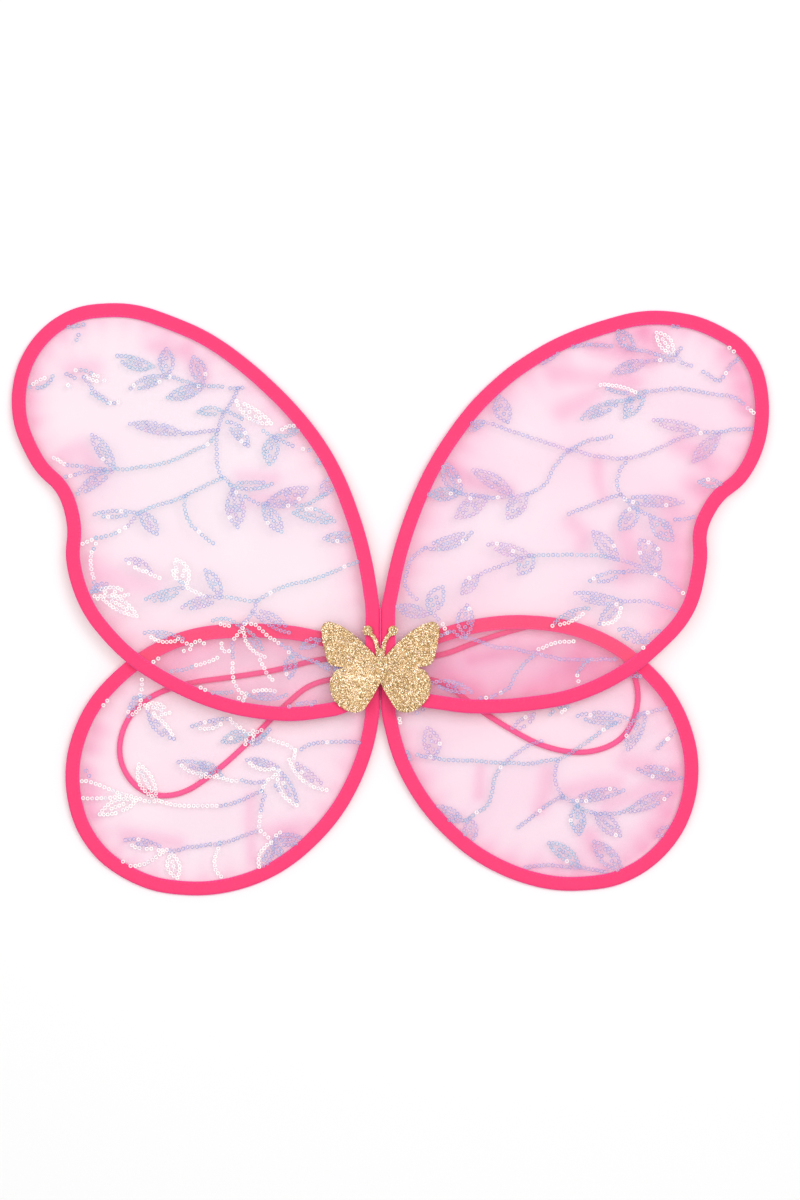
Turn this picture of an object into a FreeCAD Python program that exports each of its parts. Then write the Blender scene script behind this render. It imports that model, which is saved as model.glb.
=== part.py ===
import FreeCAD
import Part

# Fairy wings lying flat on a table, front face up.
# The frame: +X to the viewer's right, +Y towards the tops of the upper wings, +Z off the table.
# The origin is on the spine, on the back pad's underside, level with the butterfly's waist.
#
# Four wing hoops are lashed side by side along the spine, the line x = 0. A hoop is a loop of
# spring wire in a folded stretch binding, which also grips the edge of a sheer panel. The two
# upper hoops lie in front of the two lower ones. Behind them are the back pad and two elastic
# shoulder straps, and in front a die-cut glitter butterfly hides the middle.

import math
import os

from FreeCAD import Placement, Rotation, Vector

# ---------------------------------------------------------------- driving dimensions, mm and degrees

SIZES = (
    ("binding_width", 9.3, "folded binding, seen from the front"),
    ("binding_thickness", 2.8, "over the wire, both layers"),
    ("wire_diameter", 1.6, "spring wire of each hoop"),
    ("wire_offset", 2.2, "from the binding's centreline outwards to the wire"),
    ("wire_play", 0.1, "gap round the wire in its fold"),
    ("panel_thickness", 0.25, "sheer cloth with its embroidery"),
    ("panel_rise", 0.6, "panel in front of the binding's middle plane"),
    ("panel_reach", 0.8, "panel's edge past the centreline, into the binding"),
    ("slot_width", 0.4, "mouth of the fold that grips the panel"),
    ("ferrule_length", 12.0, "crimp sleeve over the wire's joined ends"),
    ("ferrule_diameter", 2.2, "outside of the crimp sleeve"),
    ("lower_tilt", 2.2, "lower hoops fall away from the middle, degrees"),
    ("lower_height", 7.3, "middle plane of the lower hoops at y = 0"),
    ("upper_tilt", 2.47, "upper hoops fall away from the middle, degrees"),
    ("upper_height", 11.62, "middle plane of the upper hoops at y = 0"),
    ("hinge_height", 13.12, "fold line between left and right wings at y = 0"),
    ("pad_width", 40.0, "back pad, across"),
    ("pad_length", 36.0, "back pad, along the spine"),
    ("pad_middle", -7.0, "back pad's middle, along the spine from the origin"),
    ("pad_thickness", 4.2, "back pad with its cover"),
    ("pad_corner", 9.0, "back pad's corner radius"),
    ("cover_wall", 0.6, "felt of the pad's cover"),
    ("card_thickness", 0.6, "stiff card in the pad"),
    ("strap_diameter", 4.0, "round elastic of the shoulder straps"),
    ("tack_length", 6.0, "bar tack over a strap's end, along the strap"),
    ("tack_width", 3.0, "bar tack, across the strap"),
    ("tack_height", 0.4, "bar tack's thread, above the pad"),
    ("tack_inset", 1.0, "bar tack, in from the pad's side"),
    ("tape_thickness", 0.3, "woven tape between left and right bindings"),
    ("thread_diameter", 1.0, "whipped seam on the tape's edge"),
    ("seam_top", 36.0, "top end of the whipped seam, along the spine"),
    ("seam_foot", -11.0, "foot of the whipped seam, where the lower bindings come forward"),
    ("butterfly_thickness", 1.3, "glitter sheet"),
    ("antenna_width", 2.4, "butterfly's antennae"),
    ("antenna_ball", 6.3, "round end of each antenna"),
    ("head_width", 4.8, "butterfly's head"),
)

# A hoop's outline is its binding's centreline, as arcs that run smoothly through these points.
# The first two points are the ends of the straight leg along the spine, from the top down.
HOOPS = {
    "upper_left": [
        (-5.2, 32), (-5.2, 6), (-8.5, -12), (-20, -26), (-45, -33), (-83, -32), (-133.5, -15.5),
        (-172, 11), (-195, 42), (-202, 66), (-202, 92), (-207, 110), (-226.5, 133.5),
        (-238.5, 168), (-229, 206), (-206, 227), (-175, 232.5), (-127.5, 219.5), (-72, 180),
        (-38.5, 140), (-13.5, 80.5), (-7.1, 50),
    ],
    "upper_right": [
        (5.2, 32), (5.2, 6), (8.5, -10), (20, -21), (46, -27.5), (84, -28.5), (137, -18),
        (177.5, 7), (203, 37), (210, 64), (211.5, 90), (219, 105), (240, 126), (251.5, 162),
        (240, 205), (216, 221), (186.5, 227.5), (136.5, 217.5), (76, 181.5), (42, 140),
        (15.5, 80.5), (8, 50),
    ],
    "lower_left": [
        (-5.2, -8), (-5.2, -30), (-6.9, -44), (-13.5, -68), (-36.5, -107.5), (-74, -138),
        (-122, -149.5), (-161, -142), (-190, -119), (-203, -78), (-193, -36), (-168, -6),
        (-130, 15.5), (-87, 21), (-41, 16), (-14, 6),
    ],
    "lower_right": [
        (5.2, -8), (5.2, -30), (7.5, -44), (15, -67.5), (40, -105.5), (78, -134.5),
        (126, -146.5), (164.5, -139), (192.5, -114.5), (205, -74.5), (195.5, -32.5),
        (169.5, -0.5), (132, 20.5), (88, 26.5), (41, 18), (14, 6),
    ],
}

# Shoulder straps: straight runs between these points, joined by tangent arcs, lying on the table.
STRAPS = {
    "strap_left": [
        (-20, 3), (-38, 3), (-66, -5), (-98, -10), (-130, -14), (-156, -24), (-171, -43),
        (-173, -67), (-158, -87), (-133, -89), (-109, -73), (-86, -52), (-65, -30), (-42, -10.5),
        (-20, -10.5),
    ],
    "strap_right": [
        (20, 3), (38, 3), (62, 13), (90, 22), (117, 27.5), (144, 19), (164, 1), (172, -23),
        (163, -50), (138, -61), (109, -57), (83, -43), (60, -28), (40, -10.5), (20, -10.5),
    ],
}
ARC_SHARE = 0.45

# The butterfly's right half, from the neck round the fore wing to the notch, then to the tail.
FORE_WING = [
    (2.4, 3.2), (12, 13.2), (22, 21.4), (30, 25.6), (35.4, 26.4), (38.4, 23.4), (38.2, 17),
    (36.7, 8.5), (35.2, 2.2), (33.2, -1.1), (29, -2.6), (23.6, -3.2),
]
HIND_WING = [
    (23.6, -3.2), (29.2, -5.6), (32.5, -11), (32.8, -18), (30.4, -24.6), (26, -29.3),
    (20.5, -32.2), (15.5, -32.8), (11, -31), (7.2, -26), (3.7, -20.2), (0, -13.3),
]
ANTENNA = [(1.3, 5), (3.6, 15), (8.4, 20.9)]
HEAD_TOP = 9.1
HEAD_OVERLAP = 1.0

# ---------------------------------------------------------------- document and sheet

os.makedirs("parts", exist_ok=True)
doc = FreeCAD.newDocument("fairy_wings")
sheet = doc.addObject("Spreadsheet::Sheet", "sizes")
for row, (alias, size, note) in enumerate(SIZES, start=1):
    sheet.set(f"A{row}", alias)
    sheet.set(f"B{row}", str(size))
    sheet.set(f"C{row}", note)
    sheet.setAlias(f"B{row}", alias)
doc.recompute()
parts = []


def size(alias):
    return float(sheet.get(alias))


def add(kind, name, **links):
    """A new document object with its links and plain settings."""
    made = doc.addObject(kind, name)
    for key, value in links.items():
        setattr(made, key, value)
    return made


def bind(made, **formulas):
    """Binds properties to formulas over the sheet's aliases, each written as sizes.ALIAS."""
    for key, formula in formulas.items():
        made.setExpression(key.replace("__", "."), formula)
    return made


def part(made, label, placement=None):
    """Marks an object as a sub-part: its label is its node and its file."""
    made.Label = label
    if placement is not None:
        made.Placement = placement
    parts.append(made)
    return made


# ---------------------------------------------------------------- smooth outlines made of arcs


def left_of(heading):
    return Vector(-heading.y, heading.x, 0)


def headings(points, closed, straight_start):
    """The direction of travel at each point, as on the circle through it and its neighbours."""
    found = []
    last = len(points) - 1
    for index, here in enumerate(points):
        before = here - points[index - 1]
        after = points[(index + 1) % len(points)] - here
        first = index == 0 and (straight_start or not closed)
        final = index == 1 and straight_start or index == last and not closed
        if first:
            heading = after
        elif final:
            heading = before
        else:
            lean = after.Length / before.Length
            heading = before * lean + after / lean
        found.append(heading.normalize())
    return found


def arc(start, start_heading, end, end_heading, outward):
    """An arc between two points and headings, moved outward (to the left of its travel)."""
    start = start + left_of(start_heading) * outward
    end = end + left_of(end_heading) * outward
    turn = math.atan2(start_heading.cross(end_heading).z, start_heading.dot(end_heading))
    if abs(turn) < 1e-6:
        return Part.LineSegment(start, end).toShape()
    chord = end - start
    depth = chord.Length / 2 * math.tan(turn / 4)
    middle = (start + end) * 0.5 - left_of(chord).normalize() * depth
    return Part.Arc(start, middle, end).toShape()


def smooth_edges(points, closed=True, straight_start=False, outward=0.0):
    """Two tangent arcs from each point to the next."""
    points = [Vector(x, y, 0) for x, y in points]
    ways = headings(points, closed, straight_start)
    edges = []
    for index in range(len(points) if closed else len(points) - 1):
        start, start_way = points[index], ways[index]
        end, end_way = points[(index + 1) % len(points)], ways[(index + 1) % len(points)]
        span = end - start
        both = span.dot(start_way + end_way)
        spread = 2 * (1 - start_way.dot(end_way))
        if spread < 1e-9:
            reach = span.dot(span) / (4 * span.dot(end_way))
        else:
            reach = (math.sqrt(both * both + spread * span.dot(span)) - both) / spread
        first_arm = start + start_way * reach
        last_arm = end - end_way * reach
        joint = (first_arm + last_arm) * 0.5
        joint_way = (last_arm - first_arm).normalize()
        edges.append(arc(start, start_way, joint, joint_way, outward))
        edges.append(arc(joint, joint_way, end, end_way, outward))
    return edges


def hoop_wire(lobe, outward):
    """A hoop's outline, moved outward from the binding's centreline."""
    side = 1 if HOOPS[lobe][0][0] < 0 else -1
    edges = smooth_edges(HOOPS[lobe], straight_start=True, outward=side * outward)
    return Part.Wire(edges)


# ---------------------------------------------------------------- wing hoops


def binding_section(lobe):
    """The folded binding's cross-section, where its leg along the spine starts."""
    x_start, y_start = HOOPS[lobe][0]
    side = 1 if x_start < 0 else -1
    half_width = size("binding_width") / 2
    half_thickness = size("binding_thickness") / 2
    fold = half_width - half_thickness
    bevel = half_thickness / 3
    slot_front = size("panel_rise") + size("slot_width") / 2
    slot_back = size("panel_rise") - size("slot_width") / 2
    wire = size("wire_offset")
    tunnel = size("wire_diameter") / 2 + size("wire_play")
    mouth_front = wire - math.sqrt(tunnel ** 2 - slot_front ** 2)
    mouth_back = wire - math.sqrt(tunnel ** 2 - slot_back ** 2)

    def at(outward, front):
        return Vector(x_start + side * outward, y_start, front)

    def line(start, end):
        return Part.LineSegment(at(*start), at(*end)).toShape()

    def bow(start, middle, end):
        return Part.Arc(at(*start), at(*middle), at(*end)).toShape()

    return Part.Wire([
        line((-half_width, slot_front), (-half_width, half_thickness - bevel / 2)),
        line((-half_width, half_thickness - bevel / 2), (-half_width + bevel, half_thickness)),
        line((-half_width + bevel, half_thickness), (fold, half_thickness)),
        bow((fold, half_thickness), (half_width, 0), (fold, -half_thickness)),
        line((fold, -half_thickness), (-half_width + bevel, -half_thickness)),
        line((-half_width + bevel, -half_thickness), (-half_width, -half_thickness + bevel)),
        line((-half_width, -half_thickness + bevel), (-half_width, slot_back)),
        line((-half_width, slot_back), (mouth_back, slot_back)),
        bow((mouth_back, slot_back), (wire + tunnel, 0), (mouth_front, slot_front)),
        line((mouth_front, slot_front), (-half_width, slot_front)),
    ])


def sweep(name, section, path):
    """A section carried round a path."""
    made = add("Part::Sweep", name, Sections=[section], Solid=True, Frenet=False)
    made.Spine = (path, [f"Edge{count}" for count in range(1, len(path.Shape.Edges) + 1)])
    return made


def make_hoop(lobe):
    """Wire, ferrule, binding and panel of one wing, drawn flat and then laid at their tilt."""
    level = lobe.split("_")[0]
    tilt = size(f"{level}_tilt") * (1 if level == "lower" else -1)
    laid = Placement(Vector(0, 0, size(f"{level}_height")), Rotation(Vector(1, 0, 0), tilt))
    x_leg, y_leg = HOOPS[lobe][0]
    side = 1 if x_leg < 0 else -1
    x_wire = x_leg + side * size("wire_offset")

    centreline = add("Part::Feature", f"{lobe}_centreline", Shape=hoop_wire(lobe, 0))
    section = add("Part::Feature", f"{lobe}_section", Shape=binding_section(lobe))
    folded = sweep(f"{lobe}_fold", section, centreline)

    wire_path = add("Part::Feature", f"{lobe}_wire_path", Shape=hoop_wire(lobe, size("wire_offset")))
    wire_ring = add("Part::Circle", f"{lobe}_wire_ring")
    wire_ring.Placement = Placement(Vector(x_wire, y_leg, 0), Rotation(Vector(1, 0, 0), 90))
    bind(wire_ring, Radius="sizes.wire_diameter / 2")
    part(sweep(f"{lobe}_hoop", wire_ring, wire_path), f"{lobe}_wire", laid)

    below = size("ferrule_length") / 2
    on_leg = Placement(Vector(x_wire, y_leg - below, 0), Rotation(Vector(1, 0, 0), 90))
    sleeve = add("Part::Cylinder", f"{lobe}_sleeve", Placement=on_leg)
    bind(sleeve, Radius="sizes.ferrule_diameter / 2", Height="sizes.ferrule_length")
    bore = add("Part::Cylinder", f"{lobe}_bore", Placement=on_leg)
    bind(bore, Radius="sizes.wire_diameter / 2", Height="sizes.ferrule_length")
    crimp = add("Part::Cut", f"{lobe}_crimp", Base=sleeve, Tool=bore)
    part(crimp, f"{lobe}_ferrule", laid)

    pocket = add("Part::Cylinder", f"{lobe}_pocket", Placement=on_leg)
    bind(pocket, Radius="sizes.ferrule_diameter / 2", Height="sizes.ferrule_length")
    hemmed = add("Part::Cut", f"{lobe}_hem", Base=folded, Tool=pocket)
    part(hemmed, f"{lobe}_binding", laid)

    edge = add("Part::Feature", f"{lobe}_panel_edge", Shape=hoop_wire(lobe, size("panel_reach")))
    cloth = add("Part::Extrusion", f"{lobe}_cloth", Base=edge, DirMode="Custom", Solid=True)
    cloth.Dir = Vector(0, 0, 1)
    bind(
        cloth,
        LengthFwd="sizes.panel_rise + sizes.panel_thickness / 2",
        LengthRev="sizes.panel_thickness / 2 - sizes.panel_rise",
    )
    part(cloth, f"{lobe}_panel", laid)


for lobe in HOOPS:
    make_hoop(lobe)

# ---------------------------------------------------------------- back pad


def rounded_plate(name, inset, height, bottom):
    """A plate with rounded corners, as wide as the pad less an inset on every side."""
    body = add("PartDesign::Body", name)
    block = body.newObject("PartDesign::AdditiveBox", f"{name}_block")
    bind(
        block,
        Length=f"sizes.pad_width - 2 * ({inset})",
        Width=f"sizes.pad_length - 2 * ({inset})",
        Height=height,
        Placement__Base__x=f"-sizes.pad_width / 2 + {inset}",
        Placement__Base__y=f"sizes.pad_middle - sizes.pad_length / 2 + {inset}",
        Placement__Base__z=bottom,
    )
    doc.recompute()
    upright = [
        f"Edge{count}"
        for count, edge in enumerate(block.Shape.Edges, start=1)
        if abs(edge.tangentAt(edge.FirstParameter).z) > 0.9
    ]
    rounding = body.newObject("PartDesign::Fillet", f"{name}_corners")
    rounding.Base = (block, upright)
    bind(rounding, Radius=f"sizes.pad_corner - {inset}")
    body.Tip = rounding
    return body


def make_pad():
    """Foam and a stiff card in a felt cover; the straps and the spine tape are sewn to the card."""
    wall = "sizes.cover_wall"
    inner = "sizes.pad_thickness - 2 * sizes.cover_wall"
    foam_height = f"{inner} - sizes.card_thickness"
    outside = rounded_plate("pad_outside", "0", "sizes.pad_thickness", "0")
    inside = rounded_plate("pad_inside", wall, inner, wall)
    part(add("Part::Cut", "pad_cover", Base=outside, Tool=inside), "back_pad_cover")
    part(rounded_plate("pad_foam", wall, foam_height, wall), "back_pad_foam")
    card_bottom = "sizes.pad_thickness - sizes.cover_wall - sizes.card_thickness"
    part(rounded_plate("pad_card", wall, "sizes.card_thickness", card_bottom), "back_pad_card")


make_pad()

# ---------------------------------------------------------------- spine: the cloth hinge


# The tape's back end steps in below the upper bindings, and follows the lower ones to its foot.
TAPE_TOP_BACK = 9.4
TAPE_FOOT = -31.0
TAPE_FOOT_FRONT = 7.5
TAPE_FOOT_BACK = 5.6
TAPE_STEP = 0.5
TAPE_STEP_HEIGHT = 8.3


def on_hinge(y, front):
    """A point of the spine, a distance in front of the fold line at y."""
    slope = math.radians(size("upper_tilt"))
    along = Vector(0, math.cos(slope), -math.sin(slope))
    forward = Vector(0, math.sin(slope), math.cos(slope))
    return Vector(0, 0, size("hinge_height")) + along * y + forward * front


def make_spine():
    """A tape on edge between the left and right bindings, and the whipped seam that tops it."""
    thread = size("thread_diameter") / 2
    pad_top = size("pad_thickness")
    pad_low = size("pad_middle") - size("pad_length") / 2
    pad_high = size("pad_middle") + size("pad_length") / 2
    seam_top = size("seam_top")
    seam_foot = size("seam_foot")
    top_end = on_hinge(seam_top, -thread)
    profile = [
        Vector(0, pad_low, pad_top),
        Vector(0, pad_high, pad_top),
        Vector(0, top_end.y, TAPE_TOP_BACK),
        top_end,
        on_hinge(seam_foot, -thread),
        Vector(0, seam_foot - TAPE_STEP, TAPE_STEP_HEIGHT),
        Vector(0, TAPE_FOOT, TAPE_FOOT_FRONT),
        Vector(0, TAPE_FOOT, TAPE_FOOT_BACK),
    ]
    outline = Part.makePolygon(profile + profile[:1])
    shape = add("Part::Feature", "tape_outline", Shape=outline)
    tape = add("Part::Extrusion", "tape", Base=shape, DirMode="Custom", Solid=True, Symmetric=True)
    tape.Dir = Vector(1, 0, 0)
    bind(tape, LengthFwd="sizes.tape_thickness")
    part(tape, "spine_tape")

    seam = add("Part::Cylinder", "seam")
    bind(seam, Radius="sizes.thread_diameter / 2", Height="sizes.seam_top - sizes.seam_foot")
    tilt = Rotation(Vector(1, 0, 0), -90 - size("upper_tilt"))
    part(seam, "spine_seam", Placement(on_hinge(seam_foot, 0), tilt))


make_spine()

# ---------------------------------------------------------------- shoulder straps


def strap_path(points, height):
    """Straight runs with tangent arcs, each as large as its shorter run allows."""
    points = [Vector(x, y, height) for x, y in points]
    edges = []
    radii = []
    here = points[0]
    for before, corner, after in zip(points, points[1:], points[2:]):
        back = before - corner
        ahead = after - corner
        turn = math.pi - back.getAngle(ahead)
        cut = ARC_SHARE * min(back.Length, ahead.Length)
        radii.append(cut / math.tan(turn / 2))
        back.normalize()
        ahead.normalize()
        begin = corner + back * cut
        end = corner + ahead * cut
        inward = (back + ahead).normalize()
        centre = corner + inward * (radii[-1] / math.cos(turn / 2))
        edges.append(Part.LineSegment(here, begin).toShape())
        edges.append(Part.Arc(begin, centre - inward * radii[-1], end).toShape())
        here = end
    edges.append(Part.LineSegment(here, points[-1]).toShape())
    return Part.Wire(edges), radii


def make_strap(name):
    radius = size("strap_diameter") / 2
    points = STRAPS[name]
    route, radii = strap_path(points, radius)
    path = add("Part::Feature", f"{name}_path", Shape=route)
    ring = add("Part::Circle", f"{name}_ring")
    ring.Placement = Placement(Vector(*points[0], radius), Rotation(Vector(0, 1, 0), 90))
    bind(ring, Radius="sizes.strap_diameter / 2")
    cord = part(sweep(f"{name}_cord", ring, path), name)
    doc.recompute()
    expected = math.pi * radius ** 2 * route.Length
    print(name, "length", round(route.Length, 1), "radii", [round(value) for value in radii])
    print(name, "volume over section x length", round(cord.Shape.Volume / expected, 4))


def make_tacks():
    """A bar tack on the pad's front over each of the four strap ends."""
    blocks = []
    for name, points in STRAPS.items():
        for end, (x, y) in enumerate((points[0], points[-1])):
            block = add("Part::Box", f"{name}_tack_{end + 1}")
            left = x - size("tack_length") - size("tack_inset") if x > 0 else x + size("tack_inset")
            corner = Vector(left, y - size("tack_width") / 2, size("pad_thickness"))
            block.Placement = Placement(corner, Rotation())
            bind(
                block,
                Length="sizes.tack_length",
                Width="sizes.tack_width",
                Height="sizes.tack_height",
            )
            blocks.append(block)
    part(add("Part::Compound", "tacks", Links=blocks), "strap_tacks")


for strap in STRAPS:
    make_strap(strap)
make_tacks()

# ---------------------------------------------------------------- glitter butterfly


def mirrored(shape):
    return shape.mirror(Vector(0, 0, 0), Vector(1, 0, 0))


def flat_piece(name, wire):
    """A piece of the glitter sheet, as thick as the sheet."""
    outline = add("Part::Feature", f"{name}_outline", Shape=wire)
    made = add("Part::Extrusion", name, Base=outline, DirMode="Custom", Solid=True)
    made.Dir = Vector(0, 0, 1)
    return bind(made, LengthFwd="sizes.butterfly_thickness")


def antenna_ball(name, x, y):
    made = add("Part::Cylinder", name, Placement=Placement(Vector(x, y, 0), Rotation()))
    return bind(made, Radius="sizes.antenna_ball / 2", Height="sizes.butterfly_thickness")


def wings_outline():
    """Both wings from the neck round to the tail and back."""
    right = smooth_edges(FORE_WING, closed=False) + smooth_edges(HIND_WING, closed=False)
    neck_x, neck_y = FORE_WING[0]
    neck = Part.LineSegment(Vector(-neck_x, neck_y, 0), Vector(neck_x, neck_y, 0)).toShape()
    left = [mirrored(edge) for edge in right]
    return Part.Wire(Part.__sortEdges__(right + left + [neck]))


def head_outline():
    """A round-topped tab that rises out of the neck."""
    half = size("head_width") / 2
    low = FORE_WING[0][1] - HEAD_OVERLAP
    shoulder = HEAD_TOP - half
    corners = [
        Vector(-half, shoulder, 0),
        Vector(-half, low, 0),
        Vector(half, low, 0),
        Vector(half, shoulder, 0),
    ]
    crown = Part.Arc(corners[3], Vector(0, HEAD_TOP, 0), corners[0]).toShape()
    return Part.Wire(list(Part.makePolygon(corners).Edges) + [crown])


def antenna_outline(side):
    """A strip of even width along the antenna."""
    spine = [(side * x, y) for x, y in ANTENNA]
    half = size("antenna_width") / 2
    one = smooth_edges(spine, closed=False, outward=half)
    other = smooth_edges(spine, closed=False, outward=-half)
    root = Part.LineSegment(one[0].Vertexes[0].Point, other[0].Vertexes[0].Point).toShape()
    tip = Part.LineSegment(one[-1].Vertexes[-1].Point, other[-1].Vertexes[-1].Point).toShape()
    return Part.Wire(Part.__sortEdges__(one + other + [root, tip]))


def make_butterfly():
    pieces = [
        flat_piece("butterfly_wings", wings_outline()),
        flat_piece("butterfly_head", head_outline()),
    ]
    for side, word in ((-1, "left"), (1, "right")):
        x, y = ANTENNA[-1]
        pieces.append(flat_piece(f"{word}_antenna", antenna_outline(side)))
        pieces.append(antenna_ball(f"{word}_antenna_ball", side * x, y))
    whole = add("Part::MultiFuse", "die_cut", Shapes=pieces, Refine=True)
    rest = on_hinge(0, size("thread_diameter") / 2)
    laid = Placement(rest, Rotation(Vector(1, 0, 0), -size("upper_tilt")))
    part(whole, "butterfly", laid)


make_butterfly()

# ---------------------------------------------------------------- checks and files

doc.recompute()
for made in doc.Objects:
    wrong = {"Invalid", "Error"} & set(made.State)
    if wrong:
        raise SystemExit(f"{made.Name} failed: {sorted(wrong)}")
for made in parts:
    if made.Shape.isNull() or not made.Shape.isValid():
        raise SystemExit(f"{made.Label} has no valid shape")
for made in parts:
    made.Shape.exportStep(f"parts/{made.Label}.step")
    print(f"{made.Label:24} solids {len(made.Shape.Solids)}  volume {made.Shape.Volume:10.1f} mm3")
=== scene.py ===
import math
import random

import bmesh
import bpy
import numpy as np
from mathutils import Matrix, Vector, kdtree, noise
from mathutils.geometry import delaunay_2d_cdt


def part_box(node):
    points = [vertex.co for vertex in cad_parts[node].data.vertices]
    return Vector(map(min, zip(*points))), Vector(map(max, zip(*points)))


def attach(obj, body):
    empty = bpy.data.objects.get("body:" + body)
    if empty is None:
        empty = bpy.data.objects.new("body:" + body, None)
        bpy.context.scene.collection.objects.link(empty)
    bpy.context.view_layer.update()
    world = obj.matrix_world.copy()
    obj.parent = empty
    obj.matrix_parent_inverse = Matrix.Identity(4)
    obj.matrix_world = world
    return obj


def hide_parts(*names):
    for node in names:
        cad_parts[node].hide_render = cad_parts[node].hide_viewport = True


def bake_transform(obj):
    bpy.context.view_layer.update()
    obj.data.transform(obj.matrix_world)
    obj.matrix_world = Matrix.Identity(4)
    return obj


# Fairy wings lying flat on a pale floor, front face up. Everything is in the frame of the packed
# model: +X to the viewer's right, +Y towards the tops of the upper wings, +Z off the floor.
# Lengths named in MM units are millimetres; everything handed to Blender is in metres.

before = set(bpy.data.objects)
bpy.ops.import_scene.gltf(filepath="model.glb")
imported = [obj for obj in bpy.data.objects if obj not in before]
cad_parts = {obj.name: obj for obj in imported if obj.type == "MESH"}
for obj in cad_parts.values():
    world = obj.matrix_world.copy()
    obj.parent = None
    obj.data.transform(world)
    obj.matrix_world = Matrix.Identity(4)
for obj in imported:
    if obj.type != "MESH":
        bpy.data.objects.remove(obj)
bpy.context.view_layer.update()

MM = 0.001
LOBES = ("upper_left", "upper_right", "lower_left", "lower_right")
BODIES = {lobe: lobe.replace("left", "left_wing").replace("right", "right_wing") for lobe in LOBES}

# ---------------------------------------------------------------- meshes


def mesh_object(name, points, faces, smooth=True):
    """A mesh piece from points in metres, (n, 3), and faces."""
    mesh = bpy.data.meshes.new(name)
    mesh.from_pydata([tuple(map(float, p)) for p in points], [], faces)
    mesh.validate()
    if smooth:
        mesh.shade_smooth()
    made = bpy.data.objects.new(name, mesh)
    bpy.context.scene.collection.objects.link(made)
    return made


def point_colours(made, name, rows):
    """Four numbers per point, for the material to read."""
    layer = made.data.attributes.new(name, "FLOAT_COLOR", "POINT")
    layer.data.foreach_set("color", np.asarray(rows, np.float32).ravel())


def ring_faces(rings, around, closed):
    """Quads between rings of points; the last ring meets the first if closed."""
    faces = []
    for ring in range(rings if closed else rings - 1):
        here = ring * around
        there = (ring + 1) % rings * around
        for step in range(around):
            after = (step + 1) % around
            faces.append((here + step, here + after, there + after, there + step))
    return faces


# ---------------------------------------------------------------- materials


class Shader:
    """A material's node tree with short ways to add to it. Scales are in repeats per metre."""

    def __init__(self, name, **settings):
        self.material = bpy.data.materials.new(name)
        self.material.use_nodes = True
        self.tree = self.material.node_tree
        self.surface = self.tree.nodes["Principled BSDF"]
        for key, value in settings.items():
            self.surface.inputs[key.replace("_", " ")].default_value = value
        self.place = self.node("ShaderNodeTexCoord").outputs["Object"]

    def node(self, kind, **settings):
        made = self.tree.nodes.new(kind)
        for key, value in settings.items():
            setattr(made, key, value)
        return made

    def link(self, source, target):
        self.tree.links.new(source, target)
        return self

    def noise(self, scale, detail=2.0, rough=0.5, stretch=None):
        made = self.node("ShaderNodeTexNoise")
        made.inputs["Scale"].default_value = scale
        made.inputs["Detail"].default_value = detail
        made.inputs["Roughness"].default_value = rough
        self.link(self.stretched(stretch), made.inputs["Vector"])
        return made.outputs["Fac"]

    def stretched(self, stretch):
        if stretch is None:
            return self.place
        made = self.node("ShaderNodeMapping")
        made.inputs["Scale"].default_value = stretch
        self.link(self.place, made.inputs["Vector"])
        return made.outputs["Vector"]

    def wave(self, scale, direction="X", distortion=0.0):
        made = self.node("ShaderNodeTexWave", bands_direction=direction)
        made.inputs["Scale"].default_value = scale
        made.inputs["Distortion"].default_value = distortion
        self.link(self.place, made.inputs["Vector"])
        return made.outputs["Fac"]

    def cells(self, scale):
        made = self.node("ShaderNodeTexVoronoi")
        made.inputs["Scale"].default_value = scale
        self.link(self.place, made.inputs["Vector"])
        return made.outputs["Distance"]

    def maths(self, operation, first, second=None):
        made = self.node("ShaderNodeMath", operation=operation)
        for socket, value in zip(made.inputs, (first, second)):
            if value is None:
                continue
            if isinstance(value, (int, float)):
                socket.default_value = value
            else:
                self.link(value, socket)
        return made.outputs[0]

    def spread(self, source, low, high, to_low=0.0, to_high=1.0):
        made = self.node("ShaderNodeMapRange")
        self.link(source, made.inputs["Value"])
        for key, value in (("From Min", low), ("From Max", high), ("To Min", to_low), ("To Max", to_high)):
            made.inputs[key].default_value = value
        return made.outputs["Result"]

    def ramp(self, source, *stops):
        """Colours along a value: each stop is (place, (r, g, b))."""
        made = self.node("ShaderNodeValToRGB")
        band = made.color_ramp
        while len(band.elements) < len(stops):
            band.elements.new(1.0)
        for element, (where, colour) in zip(band.elements, stops):
            element.position = where
            element.color = (*colour, 1)
        self.link(source, made.inputs["Fac"])
        return made.outputs["Color"]

    def mix(self, share, first, second):
        made = self.node("ShaderNodeMix", data_type="RGBA")
        for socket, value in ((made.inputs[0], share), (made.inputs[6], first), (made.inputs[7], second)):
            if isinstance(value, tuple):
                socket.default_value = (*value, 1)
            elif isinstance(value, (int, float)):
                socket.default_value = value
            else:
                self.link(value, socket)
        return made.outputs[2]

    def channels(self, name):
        """The numbers that point_colours gave each point."""
        stored = self.node("ShaderNodeAttribute", attribute_name=name)
        split = self.node("ShaderNodeSeparateColor")
        self.link(stored.outputs["Color"], split.inputs[0])
        return split.outputs

    def bump(self, height, depth, strength=1.0):
        made = self.node("ShaderNodeBump")
        made.inputs["Strength"].default_value = strength
        made.inputs["Distance"].default_value = depth
        self.link(height, made.inputs["Height"])
        self.link(made.outputs["Normal"], self.surface.inputs["Normal"])
        return self

    def into(self, socket, source):
        return self.link(source, self.surface.inputs[socket])


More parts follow.
